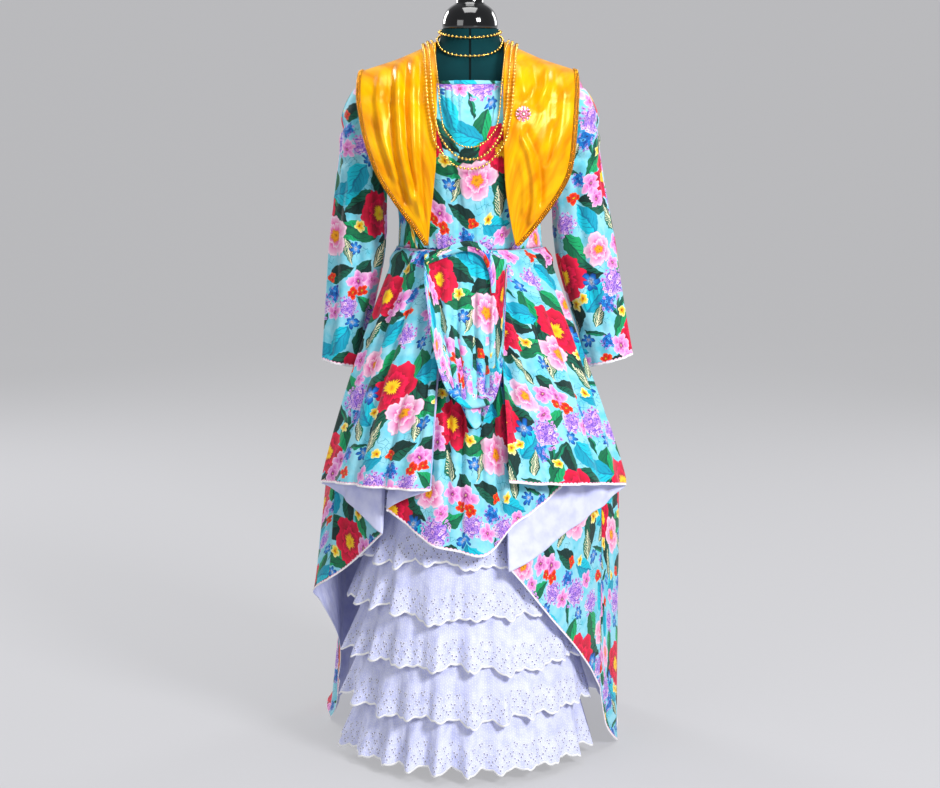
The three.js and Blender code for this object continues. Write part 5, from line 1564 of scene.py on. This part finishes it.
@dataclass
class Petticoat:
    """A plain gathered body with six tiers of scalloped eyelet flounces."""

    finishes: Finishes
    around: int = 488
    head_gap: float = 1.4  # between the body and a flounce's seam
    depth: float = 128.0
    scallop: float = 24.0
    drop: float = 5.0  # depth of a scallop
    puff: float = 20.0  # how far the tiers swell on the right-hand side

    def body(self) -> None:
        """The plain body, gathered at the waist."""
        top, hem = 1078.0, 32.0
        z = np.linspace(top, hem, 44)[:, None]
        degrees = (360 * np.arange(self.around // 4) / (self.around // 4))[None]
        drop = top - z
        gather = -0.8 * (1 + waves(degrees, (57, 71, 43), 31)) * np.exp(-drop / 120) * smooth(drop, 14, 60)
        grid = on_section(PETTICOAT, z, degrees, gather)
        made = Surface(grid, wrap=True).cloth("petticoat_body", LAWN, self.finishes.lawn, self.finishes.lawn)
        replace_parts(made, "petticoat_body")

    def crest(self, degrees: Array, tier: int) -> Array:
        """The tier's folds round the body, from -1 to 1, a few high ones among low ones.

        A main count of waves has its phase pushed about by slower waves, and its height varied.
        """
        count = int(FLOUNCES.rows[tier][3]) + 4
        t = np.radians(degrees)
        chance = np.random.default_rng(60 + tier)
        a, b, c = chance.uniform(0, 2 * math.pi, 3)
        push = 1.1 * np.sin(3 * t + a) + 0.6 * np.sin(5 * t + b)
        high = 0.72 + 0.28 * np.sin(4 * t + c)
        ridge = ((1 + np.cos(count * t + push)) / 2) ** 1.5
        return high * (2 * ridge - 1)

    def flounce(self, tier: int) -> None:
        """One tier: it stands off evenly more from its seam to its hem, where its folds are fully open."""
        hem, out, wave = FLOUNCES.rows[tier][:3]
        degrees = (360 * np.arange(self.around) / self.around)[None]
        v = np.linspace(0, 1, 20)[:, None]
        crest = self.crest(degrees, tier)
        girth = np.radians(degrees) * (PETTICOAT.eased("a", hem) + out)
        lobe = np.abs(np.sin(np.pi * girth / self.scallop))
        step = 7 * waves(degrees, (3, 5, 8), 70 + tier) * (tier < 5)
        z = mix(hem + self.depth, hem + step + 6 * (1 - crest) + self.drop * (1 - lobe), v)
        fine = 0.5 * (1 + waves(degrees, (88, 71, 103), 80 + tier)) * np.exp(-v / 0.25) * smooth(v, 0, 0.06)
        small = waves(degrees, (61, 47, 53), 90 + tier) * (1 - 0.4 * crest)
        close = np.exp(-(((degrees - 42) / 34) ** 2))  # the gown hangs near on this side
        side = np.exp(-((((degrees - 275 + 180) % 360 - 180) / 24) ** 2)) * (tier > 0)
        open_out = out + 3 + self.puff * side - 3 * close
        height = wave * (1.45 - 0.55 * close) * crest + 1.6 * small
        off = np.maximum(mix(self.head_gap + 0.4, open_out, v) + height * v**1.1 + fine, self.head_gap + 0.2)
        grid = on_section(PETTICOAT, z, degrees, off)
        surface = Surface(grid, wrap=True, across_from=0.0)
        name = f"flounce_{tier + 1}"
        made = surface.cloth(name, LAWN, self.finishes.eyelet, self.finishes.lawn)
        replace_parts(made, name)

    def build(self) -> None:
        """Makes the body and its tiers."""
        self.body()
        for tier in range(len(FLOUNCES.rows)):
            self.flounce(tier)


# ---- scarf and jewellery ----


def reach_at(x: Array, z: Array, back: Array) -> Array:
    """How far the scarf's bed lies from the body's middle: the bodice's depth, tapered towards the shoulders.

    Args:
        x: Widths.
        z: Heights.
        back: Whether each place is on the back.

    Returns:
        The reach in front or behind, b * (1 - (|x| / 272)^2.3)^(1 / 2.3) with the section's shift.
    """
    level = np.clip(z, 1072.5, CHEST_Z)
    side = np.where(back, 1, -1)
    taper = np.maximum(1 - (np.abs(x) / 272) ** 2.3, 0) ** (1 / 2.3)
    spare = np.where(back, 16 * np.clip((1140 - z) / 80, 0, 1), 0)
    return BODICE.eased("y", level) * side + BODICE.eased("b", level) * taper + spare


def on_body(x: Array, q: Array, lift: Array | float) -> Array:
    """Points over the shoulders: x across and q along, as in the scarf's table, lifted off the body."""
    back = q < 0
    run = np.abs(q)
    turn = np.pi / 2 * np.minimum(run, 1)
    ridge = RIDGE.eased("z", np.abs(x), along="x") - SCARF_LIFT
    z = np.where(run < 1, mix(CHEST_Z, ridge, np.cos(turn)), CHEST_Z - 100 * (run - 1))
    reach = reach_at(x, z, back)
    y = mix(np.where(back, RIDGE_Y, -RIDGE_Y), reach, np.sin(turn)) + lift * np.sin(turn)
    return np.stack(np.broadcast_arrays(x, np.where(back, y, -y), z + lift * np.cos(turn)), axis=-1)


@dataclass
class Scarf:
    """The satin scarf round the shoulders, and the braid of sequins along its outer edge."""

    finishes: Finishes
    across: int = 46
    step: int = 8
    tape: float = 10.0  # width of the braid
    # Folds by x and height.
    front_folds: tuple[Fold, ...] = fold_rows(
        (9.0, 10, -142, 1475, -146, 1380, -140, 1280, -118, 1180),
        (-6.0, 6, -158, 1430, -161, 1370, -154, 1270, -128, 1170),
        (6.0, 8, -112, 1490, -116, 1380, -112, 1250, -100, 1150),
        (-4.0, 5, -98, 1480, -101, 1370, -99, 1240, -93, 1140),
        (5.0, 9, -180, 1440, -186, 1370, -176, 1300, -150, 1220),
        (-6.0, 5, -128, 1450, -131, 1370, -126, 1290, -110, 1190),
        (-5.0, 6, -200, 1400, -202, 1360, -188, 1300, -160, 1220),
        (10.0, 9, 112, 1484, 142, 1470, 156, 1434, 152, 1396, 140, 1366),
        (-6.0, 8, 108, 1456, 126, 1440, 132, 1404, 122, 1376), (4.0, 7, 98, 1440, 104, 1410, 108, 1384),
        (9.0, 7, 92, 1326, 104, 1300, 118, 1270, 126, 1225, 130, 1180, 122, 1130),
        (-6.5, 6, 110, 1314, 122, 1290, 138, 1255, 143, 1210, 143, 1170),
        (4.0, 6, 98, 1262, 110, 1210, 108, 1150), (5.0, 10, 184, 1440, 190, 1380, 182, 1310, 160, 1240),
        (-5.0, 8, 168, 1390, 166, 1320, 152, 1250), (3.0, 7, 204, 1400, 200, 1330, 178, 1260),
    )
    back_folds: tuple[Fold, ...] = fold_rows(
        (3.2, 13, -130, 1424, -60, 1388, 0, 1376, 64, 1390, 128, 1426),
        (-3.0, 10, -140, 1396, -60, 1352, 4, 1340, 66, 1356, 142, 1392),
        (3.4, 14, -152, 1366, -80, 1290, -10, 1266, 70, 1296, 150, 1360),
        (-3.2, 11, -150, 1318, -74, 1240, -6, 1214, 60, 1240, 140, 1320),
        (3.2, 13, -128, 1276, -60, 1196, 0, 1166, 56, 1200, 120, 1280),
    )

    def point(self, s: Array, at: Array, more: float | Array = 0.0) -> Array:
        """Points of the scarf.

        Args:
            s: Share of the way from the inner edge to the outer one.
            at: Line number along the scarf.
            more: Extra lift off the satin's middle.

        Returns:
            Points shaped as the broadcast of s and at.
        """
        s, at = np.broadcast_arrays(s, at)
        line = SCARF.through(at.ravel())
        line = {name: value.reshape(at.shape) for name, value in line.items()}
        x, q = mix(line["inX"], line["outX"], s), mix(line["inQ"], line["outQ"], s)
        plain = on_body(x, q, SCARF_LIFT)
        height = plain[..., 2]
        folds = [folds_at(each, x, height) for each in (self.back_folds, self.front_folds)]
        fold = np.where(q < 0, *folds)
        # The brooch sits flat, and the satin rests close on the sleeves' heads.
        flat = 1 - np.exp(-((np.hypot(x - 106, height - 1346) / 26) ** 2)) * (q > 0)
        fold = 1.3 * fold * flat * smooth(np.abs(q), 0.15, 0.7)
        fold = np.where((np.abs(x) > 160) & (height > 1330), np.maximum(fold, -0.4), fold)
        fold = np.where(np.abs(x) < 100, np.minimum(fold, 2.6), fold)
        crumple = 0.5 * np.sin(x / 9.0 + 3 * np.sin(height / 40)) * smooth(np.abs(q), 0.6, 1.2)
        edge = smooth(s, 0.0, 0.06) * smooth(1 - s, 0.0, 0.06)
        return on_body(x, q, SCARF_LIFT + (fold + crumple) * edge + more)

    def build(self) -> None:
        """Makes the satin and its braid."""
        last = len(SCARF.rows) - 1
        at = np.linspace(0, last, last * self.step + 1)[None]
        s = np.linspace(0, 1, self.across)[:, None]
        grid = self.point(s, at)
        surface = Surface(grid, flip=True)
        made = surface.cloth("scarf", SATIN, self.finishes.satin, self.finishes.satin)
        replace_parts(made, "scarf")
        self.braid()

    def braid(self) -> None:
        """The braid: three rows of cupped sequins and beads that touch, laid along the outer edge."""
        last = len(SCARF.rows) - 1
        fine = np.linspace(0, last, 4000)
        edge = self.point(np.array(1.0), fine)
        wide = np.linalg.norm(edge - self.point(np.array(0.0), fine), axis=-1)
        along = arc(edge[None], 1)[0]
        centres, frames = [], []
        for row, (inset, radius, high) in enumerate(((1.8, 1.7, 1.3), (5.0, 2.0, 1.6), (8.2, 1.7, 1.3))):
            pitch = 4.2
            spots = np.arange(pitch * (0.5 + 0.5 * (row % 2)), along[-1], pitch)
            at = np.interp(spots, along, fine)
            s = 1 - inset / np.interp(at, fine, wide)
            here = self.point(s, at, 2.1)
            ahead = self.point(s, np.minimum(at + 0.02, last), 2.1)
            behind = self.point(s, np.maximum(at - 0.02, 0), 2.1)
            side = self.point(s - 0.01, at, 2.1)
            t = (ahead - behind) / np.linalg.norm(ahead - behind, axis=1, keepdims=True)
            n = np.cross(t, side - here)
            n /= np.linalg.norm(n, axis=1, keepdims=True)
            b = np.cross(n, t)
            tip = 0.25 * np.sin(np.arange(len(at)) * 2.4)[:, None]
            up = n + tip * t
            centres.append(here)
            frames.append(np.stack([t * radius, b * radius, up * high], axis=1))
        unit, faces = ball(7, 2)
        points, made_faces = scattered(unit, faces, np.concatenate(frames), np.concatenate(centres))
        # The tape that the sequins are sewn on: a flat tube round its own middle line.
        lines = np.linspace(0, last, last * 8 + 1)
        share = 1 - self.tape / np.interp(lines, fine, wide)
        loop = [
            self.point(s, lines, lift)
            for s, lift in ((share, 0.9), (mix(share, 1, 0.5), 0.9), (np.ones_like(share), 0.9),
                            (np.ones_like(share), 1.9), (mix(share, 1, 0.5), 2.1), (share, 1.9))
        ]
        tape = np.stack(loop, axis=1)
        tape_faces, _ = Surface(tape, wrap=True).faces()
        ends = [list(range(6))[::-1], [len(lines) * 6 - 6 + k for k in range(6)]]
        all_faces = made_faces.tolist() + (tape_faces + len(points)).tolist()
        all_faces += [[k + len(points) for k in end] for end in ends]
        kinds = np.arange(len(all_faces)) >= len(made_faces)
        points = np.concatenate([points, tape.reshape(-1, 3)])
        finishes = [self.finishes.sequin, self.finishes.tape]
        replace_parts(object_from("braid", points, all_faces, finishes, kinds=kinds), "braid")


@dataclass
class Strands:
    """Gilt beads on threads: two short strands round the form's neck and three long ones over the scarf."""

    finishes: Finishes
    gap: float = 3.4  # between two beads of a short strand
    close: float = 1.7  # between two beads of a long one
    thread: float = 0.55  # radius of the thread

    def short(self, bead: float, front_z: float, back_z: float, clear: float) -> Array:
        """The line of a short strand: round the neck, its height following (0.5 + 0.5 cos t)^2.2."""
        degrees = np.arange(0, 360, 3.0)
        share = (0.5 + 0.5 * np.cos(np.radians(degrees))) ** 2.2
        z = mix(back_z, front_z, share)
        return on_section(TORSO, z, degrees, bead + clear)

    def long(self, row: tuple[float, ...]) -> Array:
        """The line of a long strand: round the nape, over both shoulders and down in a loop on the chest."""
        bead, low_z, shoulder, chest, bend, nape = row
        low = 1 + (CHEST_Z - low_z) / 100
        half = [
            (shoulder * 0.5, -nape * 0.94), (shoulder * 0.88, -nape * 0.6), (shoulder, 0.0),
            (mix(shoulder, chest, 0.5), 0.45), (chest, 0.9), (mix(chest, bend, 0.4), mix(1, low, 0.3)),
            (bend, mix(1, low, 0.62)), (bend * 0.52, mix(1, low, 0.92)),
        ]
        other = [(-x, q) for x, q in reversed(half)]
        knots = np.array([(0, -nape), *half, (0, low), *other])
        n = len(knots)
        at = np.arange(0, n, 0.05)
        i = np.floor(at).astype(int)
        t = (at - i)[:, None]
        xq = catmull_rom(*(knots[(i + k) % n] for k in (-1, 0, 1, 2)), t)
        return on_body(xq[:, 0], xq[:, 1], SCARF_LIFT + 0.6 + 0.4 + bead + 3)

    def string(self, name: str, line: Array, bead: float, gap: float) -> None:
        """Threads beads on a closed line, joined by their thread as one piece."""
        fine = resampled(line, 0.5, closed=True)
        centres = resampled(fine, 2 * bead + gap, closed=True)
        unit, faces = ball(8, 4)
        frames = np.broadcast_to(np.eye(3) * bead, (len(centres), 3, 3))
        points, bead_faces = scattered(unit, faces, frames, centres)
        cord, cord_faces = tube(resampled(line, 3.0, closed=True), self.thread, 6)
        both = np.concatenate([points, cord])
        made = object_from(
            name, both, bead_faces.tolist() + (cord_faces + len(points)).tolist(), [self.finishes.gilt]
        )
        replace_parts(made, name)

    def build(self) -> None:
        """Makes all five."""
        for i, row in enumerate(SHORT_STRANDS.rows):
            self.string(f"strand_{i + 1}", self.short(*row), row[0], self.gap)
        for i, row in enumerate(LONG_STRANDS.rows):
            self.string(f"strand_{i + 3}", self.long(row), row[0], self.close)


@dataclass
class Brooch:
    """A rosette of pink stones: eight petals in two rings round a pearl."""

    finishes: Finishes
    x: float = 106.0
    z: float = 1346.0
    radius: float = 16.0

    def build(self) -> None:
        """Makes the rosette as one piece on a thin gilt plate."""
        q = 1 + (CHEST_Z - self.z) / 100
        centre = on_body(np.array(self.x), np.array(q), SCARF_LIFT) + np.array([0, -3.2, 0])
        turn = math.radians(17)
        cos, sin = math.cos(turn), math.sin(turn)
        face = np.array([[cos, sin, 0], [0, 0, 1], [sin, -cos, 0]])
        rings = (
            (0.74, 8, 3.9, 3.3, 1.7, 0.0), (0.4, 8, 2.9, 2.6, 2.6, 0.39), (0.0, 1, 2.8, 2.8, 4.0, 0.0),
            (0.93, 16, 1.5, 1.5, 1.3, 0.2),
        )
        centres, frames, kinds = [], [], []
        for share, count, long, wide, high, phase in rings:
            for k in range(count):
                t = 2 * math.pi * k / count + phase
                out = face[0] * math.cos(t) + face[1] * math.sin(t)
                side = -face[0] * math.sin(t) + face[1] * math.cos(t)
                centres.append(centre + out * share * self.radius + face[2] * high)
                frames.append(np.stack([out * long, side * wide, face[2] * 2.0]))
                kinds.append(1 if share in (0.0, 0.93) else 0)
        unit, faces = ball(10, 5)
        points, made_faces = scattered(unit, faces, np.array(frames), np.array(centres))
        plate = unit * [self.radius * 0.97, self.radius * 0.97, 1.6]
        both = np.concatenate([points, plate @ face + centre + face[2] * 0.2])
        all_faces = np.concatenate([made_faces, faces + len(points)])
        kinds = np.repeat([*kinds, 2], len(faces))
        finishes = [self.finishes.rose, self.finishes.pearl, self.finishes.gilt]
        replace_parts(object_from("brooch", both, all_faces, finishes, kinds=kinds), "brooch")


# ---- studio ----


class Softbox(Enum):
    """The studio's lights: place, aim, width and height in metres, and power in watts."""

    KEY = ((2.5, -3.3, 3.0), (0.0, 0.0, 0.95), 1.1, 1.1, 222.0)
    FILL = ((-3.2, -3.6, 2.0), (0.0, 0.0, 0.9), 2.2, 2.2, 40.0)
    TOP = ((0.0, -0.6, 4.2), (0.0, 0.0, 0.8), 2.0, 2.0, 70.0)
    LOW = ((1.3, -3.0, 0.35), (-0.25, 0.2, 0.4), 0.9, 0.6, 3.0)
    RIM_LEFT = ((-3.0, 3.2, 2.6), (0.0, 0.1, 0.9), 1.2, 1.8, 100.0)
    RIM_RIGHT = ((3.0, 3.0, 2.4), (0.0, 0.1, 0.9), 1.2, 1.8, 55.0)


@dataclass
class Studio:
    """A grey seamless sweep with a faint glow, six soft lights, even surroundings and the camera."""

    backdrop: str = "#727276"
    surroundings: str = "#e9eaf0"
    strength: float = 0.24
    half: float = 9.0  # half width of the floor in metres
    wall: float = 8.6  # distance of the wall behind the dress
    bend: float = 2.4  # radius of the sweep between floor and wall
    high: float = 7.0
    eye: tuple[float, float, float] = (0.0, -4.4, 1.45)
    pitch: float = 8.9  # degrees below level
    lens: float = 81.4

    def sweep(self) -> None:
        """The floor, the curve and the wall as one sheet, without a corner."""
        turn = np.linspace(0, np.pi / 2, 24)
        start = self.wall - self.bend
        curve = [(start + self.bend * math.sin(a), self.bend * (1 - math.cos(a))) for a in turn]
        line = np.array([(-7.5, 0.0), *curve, (self.wall, self.high)])
        x = np.linspace(-self.half, self.half, 3)
        grid = np.stack(np.broadcast_arrays(x[None], line[:, :1], line[:, 1:]), axis=-1)
        faces, _ = Surface(grid, flip=True).faces()
        mesh = bpy.data.meshes.new("sweep")
        mesh.from_pydata(grid.reshape(-1, 3).tolist(), [], faces.tolist())
        mesh.polygons.foreach_set("use_smooth", np.ones(len(mesh.polygons), bool))
        # Matt painted board: an even light grey behind the cloth, lifted by a faint glow.
        made, g = new_material("seamless board")
        paint = {"Base Color": linear(self.backdrop), "Roughness": 0.9}
        lit = {"Emission Color": linear("#f6f6f8"), "Emission Strength": 0.44}
        g.add("OutputMaterial", g.add("BsdfPrincipled", at=paint | lit))
        mesh.materials.append(made)
        sheet = bpy.data.objects.new("sweep", mesh)
        bpy.context.scene.collection.objects.link(sheet)

    def lights(self) -> None:
        """The softboxes and the even light of the room."""
        for box in Softbox:
            place, aim, wide, high, power = box.value
            lamp = bpy.data.lights.new(box.name.lower(), "AREA")
            lamp.shape = "RECTANGLE"
            lamp.size, lamp.size_y, lamp.energy = wide, high, power
            made = bpy.data.objects.new(box.name.lower(), lamp)
            made.location = place
            towards = Vector(aim) - Vector(place)
            made.rotation_euler = towards.to_track_quat("-Z", "Y").to_euler()
            bpy.context.scene.collection.objects.link(made)
        world = bpy.data.worlds.new("room")
        bpy.context.scene.world = world
        world.use_nodes = True
        world.node_tree.nodes.clear()
        g = Graph(world.node_tree)
        g.add("OutputWorld", g.add("Background", linear(self.surroundings), self.strength))

    def camera(self) -> None:
        """The camera, on a long lens a little above the chest."""
        data = bpy.data.cameras.new("camera")
        data.lens = self.lens
        data.sensor_width = 36.0
        made = bpy.data.objects.new("camera", data)
        made.location = self.eye
        made.rotation_euler = (math.radians(90 - self.pitch), 0.0, 0.0)
        bpy.context.scene.collection.objects.link(made)
        bpy.context.scene.camera = made

    def build(self) -> None:
        """Sets the studio up. Its colours are shown as they are, without a film curve."""
        bpy.context.scene.view_settings.view_transform = "Standard"
        self.sweep()
        self.lights()
        self.camera()


def main() -> None:
    """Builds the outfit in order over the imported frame."""
    logging.basicConfig(level=logging.INFO, format="%(message)s")
    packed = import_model()
    finishes = Finishes()
    LOG.info("finishes made")
    pieces = {
        "dress form": DressForm(finishes, packed["nodes"]).build,
        "petticoat": Petticoat(finishes).build,
        "bodice": Bodice(finishes).build,
        "left sleeve": Sleeve(finishes, "sleeve_left", SLEEVE_LEFT, (0.58, 0.38)).build,
        "right sleeve": Sleeve(finishes, "sleeve_right", SLEEVE_RIGHT, (0.58, 0.38)).build,
        "front panel": SkirtPanel(
            finishes, "skirt_front", SKIRT_FRONT, False, (0.62, 0.60), ("bodice_front",)
        ).build,
        "right panel": SkirtPanel(
            finishes, "skirt_right", SKIRT_RIGHT, True, (0.56, 0.60), ("bodice_front",)
        ).build,
        "left panel": SkirtPanel(
            finishes, "skirt_left", SKIRT_LEFT, False, (0.75, 0.80), ("bodice_front",)
        ).build,
        "train": SkirtPanel(finishes, "skirt_back", SKIRT_BACK, True, (1.25, 1.15), ("bodice_back",)).build,
        "loop": Loop(
            finishes, "front_loop", -92, 74, 1056, 44, 288, 18, LOOP_EDGE, (0.22, 0.28),
            fold_rows(
                (-13, 6, -64, 1040, -56, 920, -36, 810), (-16, 7, -30, 1046, -28, 900, -14, 790),
                (-15, 6, 6, 1046, 8, 920, 10, 790), (-16, 7, 38, 1040, 36, 930, 32, 800),
                (-12, 5, 58, 1030, 54, 940, 46, 850),
            ), 24.0,
        ).build,
        "under loop": Loop(
            finishes, "front_loop_under", -66, 62, 905, 30, 177, 13, UNDER_EDGE, (0.15, 0.15),
            fold_rows((-10, 6, -34, 850, -10, 735), (-10, 6, 28, 850, 20, 740)),
        ).build,
        "tuck roll": TuckRoll(finishes).build,
        "scarf": Scarf(finishes).build,
        "strands": Strands(finishes).build,
        "brooch": Brooch(finishes).build,
        "studio": Studio().build,
    }
    for name, build in pieces.items():
        build()
        LOG.info("%s built", name)


if __name__ == "__main__":
    main()
